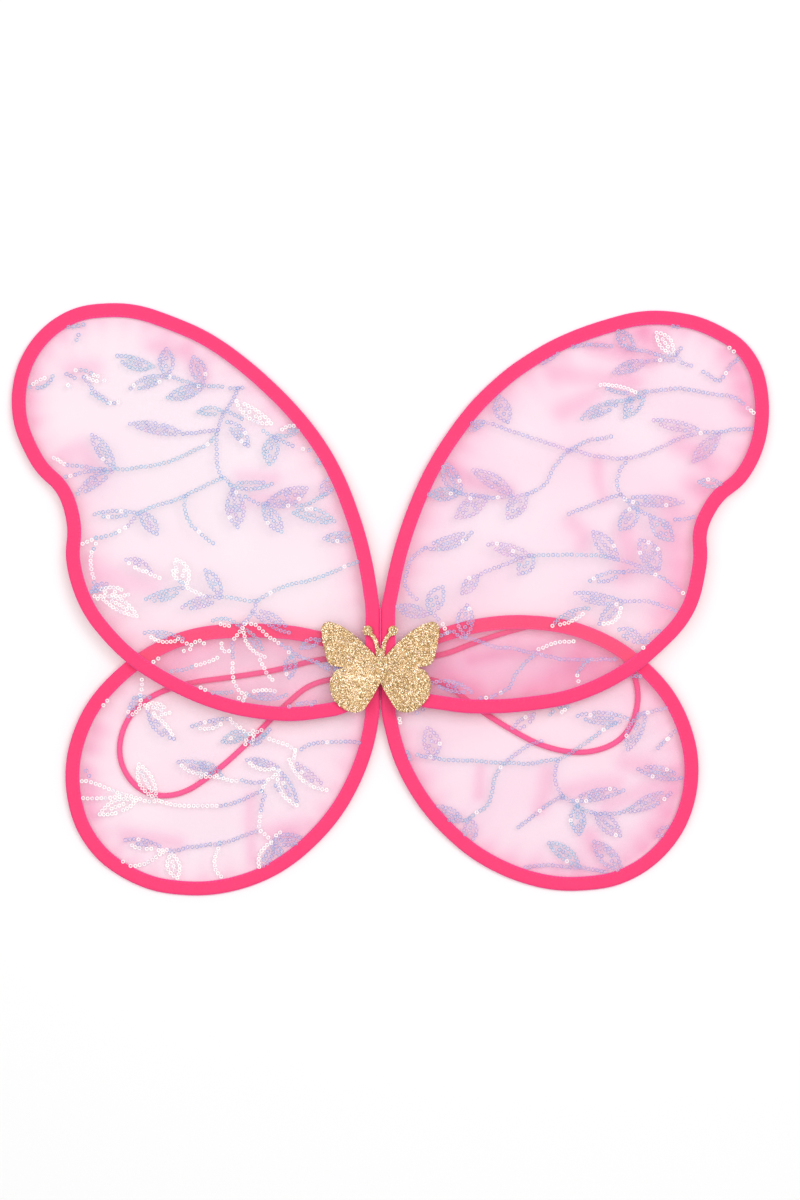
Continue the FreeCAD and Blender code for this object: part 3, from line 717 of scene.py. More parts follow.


# ---------------------------------------------------------------- sequin embroidery

# Each stem is (white, x,y, x,y, ...) along it, and each leaf (white,width, foot x,y, tip x,y), in
# millimetres. white is 1 where the sequins are painted white as glints, 0 where they stay blue, and
# plus or minus a half where only those to the left or right of the way from foot to tip are.
STEMS = {
    "upper_left": [
        (0, -209,220.5, -203,221, -196,222), (0, -199,215.5, -200.5,212), (0, -207,189.5, -201.5,187),
        (1, -206,182, -204.5,181), (0, -201,192, -195,192, -191,190),
        (0, -195.5,187.5, -193,184, -188,177.5, -182,173.5, -177.5,170, -172.5,171),
        (0, -190,177, -185,173.5, -180,170.5), (0, -139,188, -128,184.5, -124,183, -117,182, -104,181),
        (0, -99,180, -91,180.5), (0, -94,180, -96.5,173.5, -100,168, -103,164, -105.5,158, -108,150),
        (0, -108,150, -110,146.5, -115,142.5, -122,139.5, -132,134.5, -142,131, -152,128.8, -162,127.5,
            -169,126.5, -176,127),
        (0, -108,146, -108,140, -107.5,130, -105,122, -101,119.5, -98,115, -97,110),
        (0, -101,165, -97,163, -91,160), (0, -130,150, -120,151, -112,152, -107,152.5),
        (0, -77,152, -71,148, -66,146, -58,142), (0, -51,140, -47,139.5), (0, -41,133, -40,130.5),
        (0, -89,108.5, -84,105.5, -79,103.5, -74,104),
        (0, -55,102.5, -50,103, -46,104.5, -41,107.5, -36,110),
        (0, -104,42.5, -98,42, -90,40.5, -82,40, -75,43.5, -68,47.5, -60,50.5, -50,52.5, -40,55.5,
            -30,59.5, -23,62.5, -15,65.5),
        (0, -178,126, -184,127, -190,127, -195,128.5, -202,128.8, -206,129.5),
        (1, -208,130, -211,132, -215,134), (0, -207,121.5, -201,123, -196,124.5, -190,125.5, -182,126),
        (0, -105,120.5, -112,117.5, -120,113.5, -128,109.5, -136,106, -143,104, -150,102, -155,99.5,
            -160,97.5),
        (0, -128,109, -129,103, -128,97, -124.5,90, -120,86, -115,81.5, -110,78),
        (0, -160,97, -163,93, -166,89.5), (1, -168,88, -172,86), (0, -174,84.5, -181,82.5, -187,81.5),
        (1, -190,80, -196,77.5), (0, -187,81, -187,77, -188.5,74),
        (1, -190,72, -190.5,66, -190,60, -188.5,55), (0, -188,52, -186.5,47, -190,46),
        (1, -188,43, -186,41.5), (1, -154,59, -150,57, -145,55), (0, -131.5,52.5, -129.5,52),
        (1, -129,50, -125,47.5, -120,45, -116,43), (1, -133,15, -128,12, -124,11, -120,14, -116,12),
        (0, -137,-6, -130,-5.5, -124,-3.5), (1, -121,-2.5, -117,-1.5, -111,0.5, -107,2.5),
        (1, -104.5,12, -103.5,7, -99.5,7), (1, -147,-4, -142,-6.5), (1, -149,0, -146,2),
        (1, -129,7, -125,8), (1, -89,24.5, -93,19, -96,15), (0, -97,12, -97,3),
        (1, -97,-1, -97,-8, -96,-14, -92,-20, -88,-21), (1, -88,25.5, -82,24, -78,20.5, -73,16, -67,12.5),
        (0, -65,11, -62,9, -59,3), (0, -81,40, -82,36, -84,32, -88,27, -92,23),
        (1, -79,1, -77,-3, -75,-7, -71,-12), (0, -60,9, -55,4, -50,2, -45,0.5, -42,-0.5),
        (1, -88,-21, -90,-25, -89,-28), (1, -118,-17, -112,-20), (0, -110,-20.5, -104,-20.5, -98,-20),
        (1, -97,-25, -93,-24),
    ],
    "upper_right": [
        (0, 107,197, 112,199.5, 117,203), (0, 124,207, 131,208.5, 138,209, 145,208.5, 152,208),
        (0, 163,206, 172,205, 178,203.5, 182,202.5, 187,201), (0, 191,202, 195,202.5, 198,206.5),
        (0, 195,202, 199,197, 205,195),
        (0, 213,191, 217,188.5, 222,185, 225,186.5, 228,190.5, 230.5,195, 236,199.5),
        (1, 230,207, 233,204.5), (0, 193,221.5, 199,220.5), (0, 176,198, 182,198.5, 187,198.5, 193,198.5),
        (0, 150,171, 160,172, 170,174),
        (0, 176,178, 182,178.5, 190,179.5, 197,180, 208,178.5, 215,177, 222,176, 230,175, 235,173,
            239,170),
        (1, 242,167, 246,164), (0, 216,151, 226,151.5, 232,153, 238,153, 245,153.5),
        (0, 214,151, 205,149.5, 197,147, 190,143.5, 183,140.5, 176,137.5, 168,135, 162,134, 155,133.5,
            147,134.5, 138,136, 130,138.5, 123,139.5, 115,142.5, 107,145, 98,148, 90,150.5, 83,153,
            75,156, 68,158),
        (0, 152,148, 146,147, 139,146, 133,144, 127,140.5, 121,136.5, 117,131, 113,126, 110,119, 106,115,
            101,112, 97,110.5),
        (0, 162,134, 161,131, 158,126, 156,120, 156,115, 158,110),
        (0, 158,110, 152,108, 146,106, 140,103.5, 134,101, 128,99, 124,97),
        (0, 54,110, 62,109.5, 70,108, 78,108, 86,109),
        (0, 30,75, 26,72.5, 22,69, 19,65, 17,58, 16,52, 17.5,48, 20,44, 24,41),
        (0, 98,69.5, 106,70, 114,70, 124,70.5, 134,70, 142,70, 148,69),
        (0, 64,56, 68,59, 73,60.5, 79,63, 85,65, 92,68),
        (0, 148,69, 152,67.5, 157,67, 162,65.5, 168,63.5, 174,61.5, 182,60.5),
        (0, 158,110, 161,107, 165,103, 170,99.5, 175,97, 180,95), (0, 194,93.5, 200,93.5, 206,95),
        (0, 36,30, 38,28), (1, 41,24.5, 44,19),
        (0, 40,17, 47,20, 51,17, 57,15.5, 63,14, 70,11.5, 75,9.5, 82,9, 88,8.5, 95,6.5, 102,5.5, 108,4,
            113,3, 119,1.5, 126,1.3, 134,1, 146,1.5, 154,1.5),
        (0, 101,4, 97,1, 93,-3, 89,-8, 87,-13, 84,-17.5, 79,-20.5), (0, 79,-20.5, 73,-23, 66,-24),
        (1, 104,8, 108,9.5, 114,12, 121,13, 127,13), (0, 136,0, 133,-3, 130,-7), (1, 129.5,-9, 130,-13),
        (0, 160,59, 167,59.5, 175,59, 181,57, 187,54, 192,50.5, 196,47), (1, 199,45, 200.5,42),
        (0, 158,40, 165,39.5, 172,40, 180,38.5, 187,36, 194,33.5), (1, 173,9, 175.5,10),
    ],
    "lower_left": [
        (1, -157,-11, -157,-17, -158,-21), (1, -180,-25, -182.5,-28), (0, -162,-23, -157,-22, -152,-23),
        (1, -99,-37, -97,-40, -92,-43, -88,-47), (0, -84,-54, -79,-52, -76,-47),
        (1, -73,-50, -68,-52, -62,-54, -56,-57.5),
        (0, -52,-57, -48,-54, -43,-53, -36,-52.5, -28,-52, -20,-52, -14,-52.5), (1, -56,-58, -57,-63),
        (1, -68,-71, -70,-75, -74,-77.5, -77,-81.5, -78.5,-84.5),
        (0, -78.5,-84.5, -83,-86.5, -89,-89.5, -94,-91.5, -99,-93, -105,-94.5),
        (1, -108,-94.5, -118,-94.5, -128,-94.5, -138,-93.5, -144,-91.5), (0, -69,-81, -67,-84),
        (0, -78,-85, -76.5,-88, -78,-93, -79,-97), (1, -79,-98, -79.5,-103, -80,-108, -79,-111),
        (0, -82,-111.5, -90,-114, -96,-116.5, -102,-118.5, -106,-119),
        (1, -118,-75.5, -112,-75, -106,-75.5, -100,-77.5, -95,-78), (0, -91,-77.5, -84,-79, -77,-78.5),
        (1, -197,-78, -192,-78.5, -187,-80, -181,-82.5, -175,-85, -169,-87, -163,-88.5, -157,-90.5,
            -152,-91.5, -146,-91),
        (1, -196,-89.5, -190,-89.5, -184,-89.5, -178,-89, -172,-88.5), (0, -194,-71, -192,-74.5),
        (1, -146,-124, -141,-123.5),
        (0, -139,-124, -134,-124, -128,-122, -121,-121.5, -113,-120, -106,-119.5),
        (1, -143,-125, -147,-127.5, -150,-130, -155,-132.5, -161,-134, -166,-134, -170,-131.5),
        (1, -106,-120, -108,-125, -109.5,-131, -108.5,-137, -105,-141.5, -103,-143),
        (1, -79,-111, -75,-114, -72,-118), (1, -69,-114, -66,-112),
    ],
    "lower_right": [
        (0, 24,-60.5, 29,-62, 34,-62, 40,-63.5, 46,-64, 53,-64.5, 60,-64.5, 68,-65, 76,-66, 86,-66,
            94,-66.5, 102,-66, 110,-64.5, 117,-63.5, 121,-62, 126,-59, 131,-55.5, 137,-51.5, 143,-47,
            149,-43, 155,-40),
        (0, 81,-66.5, 78,-71, 75,-77, 74,-84, 72,-91, 69,-95.5, 64,-98.5, 60,-101.5, 56,-104),
        (0, 84,-64, 88,-61, 93,-57.5, 99,-54, 106,-51.5), (0, 18,-59, 19.5,-63.5),
        (1, 12.5,-37, 13,-39.5), (0, 24,-33, 28,-31), (0, 117,-65, 115,-72, 115.5,-79, 118,-85, 120,-89),
        (0, 120,-88, 114,-91, 108,-95, 102,-100, 97,-104, 91,-108.5),
        (0, 120,-88, 125,-91, 129,-94, 134,-97, 140,-99, 146,-99.5, 152,-99.5, 158,-99, 162,-97.5,
            166,-95),
        (0, 96,-135, 104,-134, 112,-133.5, 119,-134.5, 127,-135, 134,-135.5, 142,-137, 149,-138),
        (0, 170,-34, 175,-33, 181,-31.5, 188,-30), (0, 194,-45, 191,-47.5), (1, 189.5,-50, 189,-50.5),
        (0, 187,-52, 183,-56), (0, 166,-8.5, 171,-9),
    ],
}
LEAVES = {
    "upper_left": [
        (0.5,7, -231,181, -216,188), (1,5.5, -194,188, -182,185.5), (0,9, -150,194.5, -173.5,201.5),
        (0,11, -141,189, -141,206), (0,8, -141,187.5, -164.5,180), (0,11, -117,184, -123,200.5),
        (0,9, -117,181, -140,174), (0,6.5, -104,164.5, -120,164.5), (1,9, -95,171.5, -72,157),
        (0,8.5, -101,158, -87,142), (0,8, -130,150, -165,156.5), (0,11, -70,148, -73,130),
        (0.5,8, -68,149, -52,154), (0,6.5, -99,116.5, -71.5,117), (0,13, -97,113, -94,88.5),
        (0,12, -75,104, -48.5,114), (0,10, -77,102, -65,85.5), (0,10, -57,98, -30.5,92.5),
        (0,9, -39,110, -32,121), (0,7.5, -37,81, -17,82), (0,9, -175.5,128, -190,149),
        (0,8, -177,125, -199,110.5), (0,6, -162,98, -188,97), (0,9.5, -158,98, -147,84),
        (0.5,8, -151,59, -167,67), (1,12, -127,51.5, -134,67), (0,7.5, -130,48.5, -154,41),
        (0,8, -105,43.5, -115,60), (0,8, -106,42, -130,35.5), (1,7.5, -183,47.5, -166,44),
        (1,9, -184,43, -160,30), (0,6, -190,46, -180,51), (0.5,8, -130,15, -155,19),
        (0.5,6.5, -94,24.5, -110,27), (0,9, -84,33, -60,19), (-0.5,9, -90,22, -76,3),
        (0,9, -58,4, -60,-10.5), (0,7, -52,9, -40,14), (0,5, -41,-1, -24,-4), (0.5,8, -88,-21, -62,-22),
        (0,5, -60,-29.5, -43,-26.5),
    ],
    "upper_right": [
        (0,10, 167,206.5, 157,218), (1,10, 193,203, 182,217), (0,8, 175,197.5, 154,190.5),
        (-0.5,6, 168,177.5, 145,182.5), (0,8, 155,169, 133,160), (0,11, 174,178, 161,161),
        (0,7, 209,153, 180,159), (0,10, 223,150, 206,132), (0,12, 84,158, 78,174.5),
        (0,7, 68,158, 57,153), (0,11, 53,111, 42,131), (0,9, 52,111, 32,110), (0,12, 70,108.5, 50,95),
        (0,9.5, 87,110, 61,126), (0,12, 96,110, 84,94.5), (0,9, 30,75, 60,85), (0,8, 98,70, 71,77),
        (0,11, 156,68, 140,85.5), (0,14, 183,61, 171,80), (0,12, 169,101, 158,87),
        (0,8, 161,107, 199,105), (0,12, 178,94, 192,80), (0,7, 224,117, 210,118), (0,9, 31,31, 11,36),
        (0,12, 33,32, 41,49), (0,9, 64,56, 54,45), (0,11, 100,70, 91,58), (0,12, 56,17, 57,37),
        (0,8, 60,-20, 34,-14), (0,7, 160,58.5, 138,53), (0,8, 158,40, 128,45), (0.5,11, 158,38, 144,25),
        (0.5,8, 137,35, 113,23.5), (0,9, 172,13, 157,21), (0,7, 173,13, 183,20),
    ],
    "lower_left": [
        (0.5,8, -158,-22, -166,-35), (1,9, -155,-28, -139,-33), (0.5,9, -153,-32, -136,-50),
        (0.5,7, -101,-37, -124,-42), (0,8, -87,-47, -104,-52), (1,6, -84,-45, -89,-56),
        (0.5,6, -86,-52, -73,-44), (-0.5,9, -60,-64, -35.5,-84), (0.5,8, -68,-69, -88,-64),
        (-0.5,10, -67,-71, -55,-94), (0.5,9, -112,-72.5, -133,-65.5), (0,8, -105,-74, -119,-66),
        (1,11, -148,-89, -159,-67), (1,10, -161,-91, -185,-100), (0.5,8, -146,-121, -168,-117),
        (1,10, -138,-126, -134,-142), (-0.5,10, -72,-119, -80,-135), (0,9, -71,-118, -51,-117),
        (0,6, -71,-120, -64,-127),
    ],
    "lower_right": [
        (0,12, 35,-63, 31,-43), (0,7, 101,-34, 87,-43), (0,9, 54,-104, 38,-95), (0,10, 59,-103, 59,-118),
        (0,8, 127,-91, 160,-84), (0,11, 130,-94, 131,-113), (0,11, 142,-100, 158,-114),
        (0,9.5, 165,-98, 191,-86), (0,9, 170,-70, 198,-76), (0,9.5, 111,-119, 131,-134),
        (0,12, 141,-118, 159,-137), (0,7, 183,-114, 192,-109), (0,9, 163,-37, 130,-35),
        (0,11, 174,-33, 163,-57), (0.5,6, 123,-29, 112,-34),
    ],
}
# A sequin's section from its hole out over the front and back underneath, in millimetres: radius,
# height, and how strong its colour is, from the clear dish at 0 to the rim at 1.
SEQUIN_CUP = [
    (0.46, 0.06, 0.3), (0.58, 0.05, 0.0), (0.84, 0.08, 0.0), (0.96, 0.16, 1.0), (1.32, 0.24, 1.0),
    (1.28, 0.15, 1.0), (0.86, 0.0, 0.0), (0.48, 0.0, 0.3),
]
SEQUIN_AROUND = 10
STEM_PITCH = 3.05 * MM
LEAF_PITCH = 2.8 * MM
LEAF_ROWS = (-1, -0.5, 0, 0.5, 1)
LEAF_MARGIN = 1.0 * MM
LEAST_HALF = 0.4 * MM
LEAST_APART = 2.45 * MM
CLEAR_OF_BINDING = 0.3 * MM
# How far, in millimetres, sequins stray from their rows, and how they lean, in radians.
STEM_SCATTER = 0.12
LEAF_SCATTER = 0.10
SHINGLE = 0.05
LEAN_ALONG = 0.07
LEAN_ACROSS = 0.09
SEQUIN_LIFT = 0.30
LIFT_RANGE = 0.12
# The sewing thread leaves a sequin's hole low and reaches the next one high.
SEWING_RADIUS = 0.07 * MM
SEWING_LOW = 0.42 * MM
SEWING_HIGH = 0.62 * MM
LONGEST_STITCH = 3.6 * MM
# Each wing's middle tint, from blue at 0 to lilac at 1.
TINTS = {"upper_left": 0.25, "upper_right": 0.5, "lower_left": 0.4, "lower_right": 0.5}


def flowing(points):
    """A given line with three more points on each stretch, so that it bends smoothly."""
    points = [np.array(point, float) for point in points]
    ends = [2 * points[0] - points[1], *points, 2 * points[-1] - points[-2]]
    line = []
    for before, start, end, after in zip(ends, ends[1:], ends[2:], ends[3:]):
        for share in (0, 0.25, 0.5, 0.75):
            bend = 2 * start + (end - before) * share
            bend = bend + (2 * before - 5 * start + 4 * end - after) * share ** 2
            bend = bend + (3 * start - before - 3 * end + after) * share ** 3
            line.append(bend / 2)
    return [*line, points[-1]]


def stem_spots(dice, points):
    """Where a stem's sequins go: place and heading of each."""
    line = along_line(np.array(flowing(points)) * MM, STEM_PITCH)
    ways = np.gradient(line, axis=0)
    spots = []
    for (x, y), (across, up) in zip(line, ways):
        x += dice.gauss(0, STEM_SCATTER) * MM
        y += dice.gauss(0, STEM_SCATTER) * MM
        spots.append((x, y, math.atan2(up, across), 0))
    return spots


def leaf_spots(dice, width, foot, tip):
    """Where a leaf's sequins go: rows that spread from the foot and meet again at the tip."""
    foot = np.array(foot, float) * MM
    tip = np.array(tip, float) * MM
    ahead = tip - foot
    length = np.linalg.norm(ahead)
    ahead /= length
    side = np.array([-ahead[1], ahead[0]])
    bow = dice.uniform(-0.06, 0.06) * length
    half = max(width * MM / 2 - LEAF_MARGIN, LEAST_HALF)
    spots = []
    for row in sorted(LEAF_ROWS, key=abs, reverse=True):
        shares = np.linspace(0, 1, 40)
        swell = np.sin(np.pi * shares) ** 0.85
        curve = (
            foot + np.outer(shares * length, ahead)
            + np.outer(row * half * swell + bow * swell, side)
        )
        line = along_line(curve, LEAF_PITCH)
        ways = np.gradient(line, axis=0)
        for (x, y), (across, up) in zip(line, ways):
            x += dice.gauss(0, LEAF_SCATTER) * MM
            y += dice.gauss(0, LEAF_SCATTER) * MM
            if all(math.hypot(x - spot[0], y - spot[1]) > LEAST_APART for spot in spots):
                spots.append((x, y, math.atan2(up, across), row))
    return spots


def sewn_spots(hoop, dice):
    """Every sequin of one wing: x, y, heading, how much it is painted as a white glint and its tint; and
    each row's thread.
    """
    spots = []
    runs = []
    for white, *points in STEMS[hoop.lobe]:
        tint = dice.gauss(TINTS[hoop.lobe], 0.15)
        run = []
        for x, y, heading, _ in stem_spots(dice, pairs(points)):
            if hoop.inset(x, y)[0] < CLEAR_OF_BINDING:
                continue
            spots.append((x, y, heading, painted_glint_share(dice, white), tint + dice.gauss(0, 0.12)))
            run.append((x, y))
        runs.append(run)
    for white, width, *ends in LEAVES[hoop.lobe]:
        tint = dice.gauss(TINTS[hoop.lobe], 0.22)
        run = []
        last_row = None
        for x, y, heading, row in leaf_spots(dice, width, *pairs(ends)):
            if hoop.inset(x, y)[0] < CLEAR_OF_BINDING:
                continue
            turned = white
            if abs(white) == 0.5:
                turned = 1 if row * white > 0 else 0
            spots.append((x, y, heading, painted_glint_share(dice, turned), tint + dice.gauss(0, 0.16)))
            if row != last_row:
                runs.append(run)
                run = []
            run.append((x, y))
            last_row = row
        runs.append(run)
    return spots, [run for run in runs if len(run) > 1]


def painted_glint_share(dice, white):
    """How much one sequin is painted as a white glint: most follow their row, and a few blue ones get a
    painted glint too.
    """
    if white:
        return min(1.0, max(0.3, dice.gauss(0.92, 0.12)))
    return 0.85 if dice.random() < 0.035 else max(0.0, dice.gauss(0.04, 0.05))


def make_sequins(hoop):
    """All the sequins of one wing as one piece, each a cup with its hole, and their sewing thread."""
    dice = random.Random(f"sequins {hoop.lobe}")
    spots, runs = sewn_spots(hoop, dice)
    cup = []
    rims = []
    for radius, height, rim in SEQUIN_CUP:
        for step in range(SEQUIN_AROUND):
            angle = step / SEQUIN_AROUND * math.tau
            cup.append((math.cos(angle) * radius, math.sin(angle) * radius, height))
            rims.append(rim)
    cup = np.array(cup) * MM
    cup_faces = np.array([face[::-1] for face in ring_faces(len(SEQUIN_CUP), SEQUIN_AROUND, closed=True)])
    points = []
    faces = []
    marks = []
    for count, (x, y, heading, white, tint) in enumerate(spots):
        rise, _ = cloth_at(hoop, x, y)
        tilt = Matrix.Rotation(heading, 3, "Z")
        tilt = tilt @ Matrix.Rotation(-SHINGLE + dice.gauss(0, LEAN_ALONG), 3, "Y")
        tilt = tilt @ Matrix.Rotation(dice.gauss(0, LEAN_ACROSS), 3, "X")
        lift = hoop.cloth_middle + rise + (SEQUIN_LIFT + dice.uniform(0, LIFT_RANGE)) * MM
        points.append(cup @ np.array(tilt).T + np.array([x, y, lift]))
        faces.append(cup_faces + count * len(cup))
        # The second number is how much the sequin is painted as a white glint.
        marks += [(min(max(tint, 0), 1), white, rim, 1) for rim in rims]
    name = f"{hoop.lobe}_sequins"
    made = mesh_object(name, hoop.place(np.vstack(points)), np.vstack(faces).tolist())
    point_colours(made, "finish", marks)
    finish(made, "sequin", "sequin", BODIES[hoop.lobe])
    return made, make_sewing(hoop, runs)


def make_sewing(hoop, runs):
    """The thread that runs up through each sequin's hole and down beside the next."""
    parts = []
    for run in runs:
        for (ax, ay), (bx, by) in zip(run, run[1:]):
            if math.hypot(bx - ax, by - ay) > LONGEST_STITCH:
                continue
            low = hoop.cloth_middle + cloth_at(hoop, ax, ay)[0] + SEWING_LOW
            high = hoop.cloth_middle + cloth_at(hoop, bx, by)[0] + SEWING_HIGH
            parts.append(capsule((ax, ay, low), (bx, by, high), SEWING_RADIUS, rings=3, around=4))
    points, faces = gather(parts)
    made = mesh_object(f"{hoop.lobe}_sewing_thread", hoop.place(points), faces)
    return finish(made, "sewing", "thread", BODIES[hoop.lobe])


# ---------------------------------------------------------------- straps

# The routes that part.py gives the two straps, as the control points of one smooth curve each.
STRAP_ROUTES = {
    "strap_left": [
        (-20, 3), (-38, 3), (-66, -5), (-98, -10), (-130, -14), (-156, -24), (-171, -43),
        (-173, -67), (-158, -87), (-133, -89), (-109, -73), (-86, -52), (-65, -30), (-42, -10.5),
        (-20, -10.5),
    ],
    "strap_right": [
        (20, 3), (38, 3), (62, 13), (90, 22), (117, 27.5), (144, 19), (164, 1), (172, -23),
        (163, -50), (138, -61), (109, -57), (83, -43), (60, -28), (40, -10.5), (20, -10.5),
    ],
}
STRAP_RADIUS = 2.0 * MM
STRAP_PITCH = 0.45 * MM
STRAP_AROUND = 24
BRAID_LENGTH = 5.4 * MM
BRAID_STRANDS = 8


def spline_points(route, height):
    """The smooth curve with the route's points as its control points, as a list of points."""
    curve = bpy.data.curves.new("route", "CURVE")
    curve.dimensions = "3D"
    curve.resolution_u = 24
    spline = curve.splines.new("NURBS")
    spline.points.add(len(route) - 1)
    for point, (x, y) in zip(spline.points, route):
        point.co = (x * MM, y * MM, height, 1)
    spline.order_u = 3
    spline.use_endpoint_u = True
    holder = bpy.data.objects.new("route", curve)
    line = bpy.data.meshes.new_from_object(holder)
    points = [corner.co.copy() for corner in line.vertices]
    bpy.data.objects.remove(holder)
    bpy.data.meshes.remove(line)
    return points


def along_line(points, step):
    """Points a step apart along an open line."""
    points = np.array(points)
    gone = np.concatenate([[0], np.cumsum(np.linalg.norm(np.diff(points, axis=0), axis=1))])
    at = np.linspace(0, gone[-1], max(2, round(gone[-1] / step) + 1))
    return np.column_stack([np.interp(at, gone, points[:, axis]) for axis in range(points.shape[1])])


def tube(line, around, radius_at):
    """A closed tube along a line. radius_at gives its radius at an angle and a distance along."""
    ahead = np.gradient(line, axis=0)
    ahead /= np.linalg.norm(ahead, axis=1)[:, None]
    step_length = np.linalg.norm(line[1] - line[0])
    points = []
    for index, (centre, way) in enumerate(zip(line, ahead)):
        side = np.cross((0, 0, 1), way)
        side /= np.linalg.norm(side)
        up = np.cross(way, side)
        for step in range(around):
            angle = step / around * math.tau
            radius = radius_at(angle, index * step_length)
            points.append(centre + (side * math.cos(angle) + up * math.sin(angle)) * radius)
    faces = ring_faces(len(line), around, closed=False)
    faces.append(tuple(reversed(range(around))))
    faces.append(tuple(range(len(points) - around, len(points))))
    return points, faces


def braid(angle, gone):
    """The radius of a braided cover, whose strands cross over and under."""
    wind = gone / BRAID_LENGTH * math.tau
    one = math.cos(BRAID_STRANDS / 2 * (angle + wind))
    two = math.cos(BRAID_STRANDS / 2 * (angle - wind))
    return STRAP_RADIUS - 0.16 * MM + 0.08 * MM * max(one, two) + 0.04 * MM * one * two


def make_strap(name):
    line = along_line(spline_points(STRAP_ROUTES[name], STRAP_RADIUS), STRAP_PITCH)
    made = mesh_object(f"{name}_elastic", *tube(line, STRAP_AROUND, braid))
    finish(made, "elastic", "elastic", "hub")
    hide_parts(name)


# ---------------------------------------------------------------- back pad and its stitching

# The pad's sizes, as in part.py.
PAD_HALF = (20 * MM, 18 * MM)
PAD_MIDDLE = -7 * MM
PAD_CORNER = 9 * MM
PAD_TOP = 4.2
# From the middle of the underside out to the seam and back over the front, in millimetres:
# how far in from the edge, and how high. The dips are where the stitching pulls the felt down.
PAD_PROFILE = [
    (16, 0.0), (12, 0.0), (6, 0.0), (3.6, 0.02), (2.6, 0.25), (1.8, 0.1), (0.9, 0.5), (0.25, 1.2),
    (0.0, 2.1), (0.25, 3.0), (0.9, 3.7), (1.8, 4.08), (2.6, 3.82), (3.6, 4.12), (6, 4.18), (12, 4.2),
    (16, 4.2),
]
FOAM_PROFILE = [
    (16, 0.62), (6, 0.62), (1.6, 0.66), (0.85, 1.0), (0.7, 1.8), (0.85, 2.6), (1.6, 2.92), (6, 2.98),
    (16, 2.98),
]
PAD_STITCH_INSET = 2.6 * MM
PAD_STITCH_HEIGHTS = (3.92 * MM, 0.2 * MM)
PAD_STITCH_STEP = 1.5 * MM
PAD_STITCH_RADIUS = 0.22 * MM
FELT_THICKNESS = 0.5 * MM
# Where the bar tacks hold the strap ends down: the middle of each, on the pad's front.
TACKS = [(-16, 3), (-16, -10.5), (16, 3), (16, -10.5)]


def rounded_ring(inset):
    """The pad's outline, moved inwards: four sides joined by round corners."""
    corner = max(PAD_CORNER - inset, 0.4 * MM)
    reach = [max(half - inset, corner) - corner for half in PAD_HALF]
    ring = []
    for turn, (right, up) in enumerate(((1, 1), (-1, 1), (-1, -1), (1, -1))):
        for step in range(12):
            angle = (turn + step / 11) * math.pi / 2
            x = right * reach[0] + corner * math.cos(angle)
            y = up * reach[1] + corner * math.sin(angle)
            ring.append((x, y + PAD_MIDDLE))
    return ring


def make_cushion(name, node, profile, material, slot):
    """A soft closed form over the pad's outline, crowned and pulled in where it is sewn."""
    points = []
    for inset, height in profile:
        for x, y in rounded_ring(inset * MM):
            room = min(height, PAD_TOP - height, 1)
            lump = noise.noise(Vector((x, y, height * MM)) / (4 * MM)) * room * 0.12
            points.append((x, y, (height + lump) * MM))
    around = len(rounded_ring(0))
    faces = ring_faces(len(profile), around, closed=False)
    faces.append(tuple(reversed(range(around))))
    faces.append(tuple(range(len(points) - around, len(points))))
    made = mesh_object(name, points, faces)
    finish(made, material, slot, "hub")
    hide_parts(node)
    return made


def make_pad():
    cover = make_cushion("back_pad_felt", "back_pad_cover", PAD_PROFILE, "felt", "felt")
    wall = cover.modifiers.new("felt_thickness", "SOLIDIFY")
    wall.thickness = FELT_THICKNESS
    wall.offset = -1
    make_cushion("back_pad_filling", "back_pad_foam", FOAM_PROFILE, "foam", "foam")
    parts = []
    for front in PAD_STITCH_HEIGHTS:
        row = rounded_ring(PAD_STITCH_INSET)
        row = along_line([(x, y, front) for x, y in [*row, row[0]]], PAD_STITCH_STEP)
        for start, end in zip(row[::2], row[1::2]):
            parts.append(capsule(start, end + (end - start) * 0.2, PAD_STITCH_RADIUS))
    made = mesh_object("back_pad_stitching", *gather(parts))
    finish(made, "thread", "thread", "hub")


def make_bar_tacks():
    """Close zigzag stitches over each strap end."""
    parts = []
    for x, y in TACKS:
        middle = Vector((x * MM, y * MM, (PAD_TOP + 0.18) * MM))
        for side in (-0.9, 0, 0.9):
            reach = Vector((2.8 * MM, 0, 0))
            shift = Vector((0, side * MM, -0.05 * MM))
            parts.append(capsule(middle - reach + shift, middle + reach + shift, 0.16 * MM))
        for step in range(13):
            along = Vector(((step - 6) * 0.45 * MM, 0, 0.02 * MM))
            across = Vector((0.2 * MM * (-1) ** step, 1.35 * MM, 0))
            parts.append(capsule(middle + along - across, middle + along + across, 0.2 * MM))
    made = mesh_object("strap_bar_tacks", *gather(parts))
    finish(made, "thread", "thread", "hub")
    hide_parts("strap_tacks")


def whipping(angle, gone):
    """The radius of a cord wrapped round and round with thread."""
    return 0.36 * MM + 0.12 * MM * abs(math.cos(angle / 2 + gone / (0.9 * MM) * math.pi))


def make_spine_seam():
    """The whipped seam down the front of the spine, from its top to where the upper wings part."""
    low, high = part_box("spine_seam")
    top = Vector((0, high.y, low.z + 0.5 * MM))
    foot = Vector((0, low.y, high.z - 0.5 * MM))
    line = along_line([foot, top], 0.12 * MM)
    made = mesh_object("spine_whip_stitches", *tube(line, 14, whipping))
    finish(made, "thread", "thread", "hub")
    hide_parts("spine_seam")


# ---------------------------------------------------------------- glitter butterfly

# The sheet is split at BEND_MIDDLE from the spine, and cut across into strips BEND_STEP wide out to
# BEND_END.
BEND_MIDDLE = 1.5 * MM
BEND_END = 7.2 * MM
BEND_STEP = 0.3 * MM
# The flakes' spacing; their size, height above the sheet and depth down its cut edge, in millimetres;
# how far they lean; and the share of bright ones.
FLAKE_PITCH = 0.52 * MM
FLAKE_RADII = (0.24, 0.42)
FLAKE_LEAN = 0.16
FLAKE_LIFTS = (0.06, 0.2)
WALL_DEPTHS = (0.35, 0.95)
BRIGHT_FLAKES = 0.16


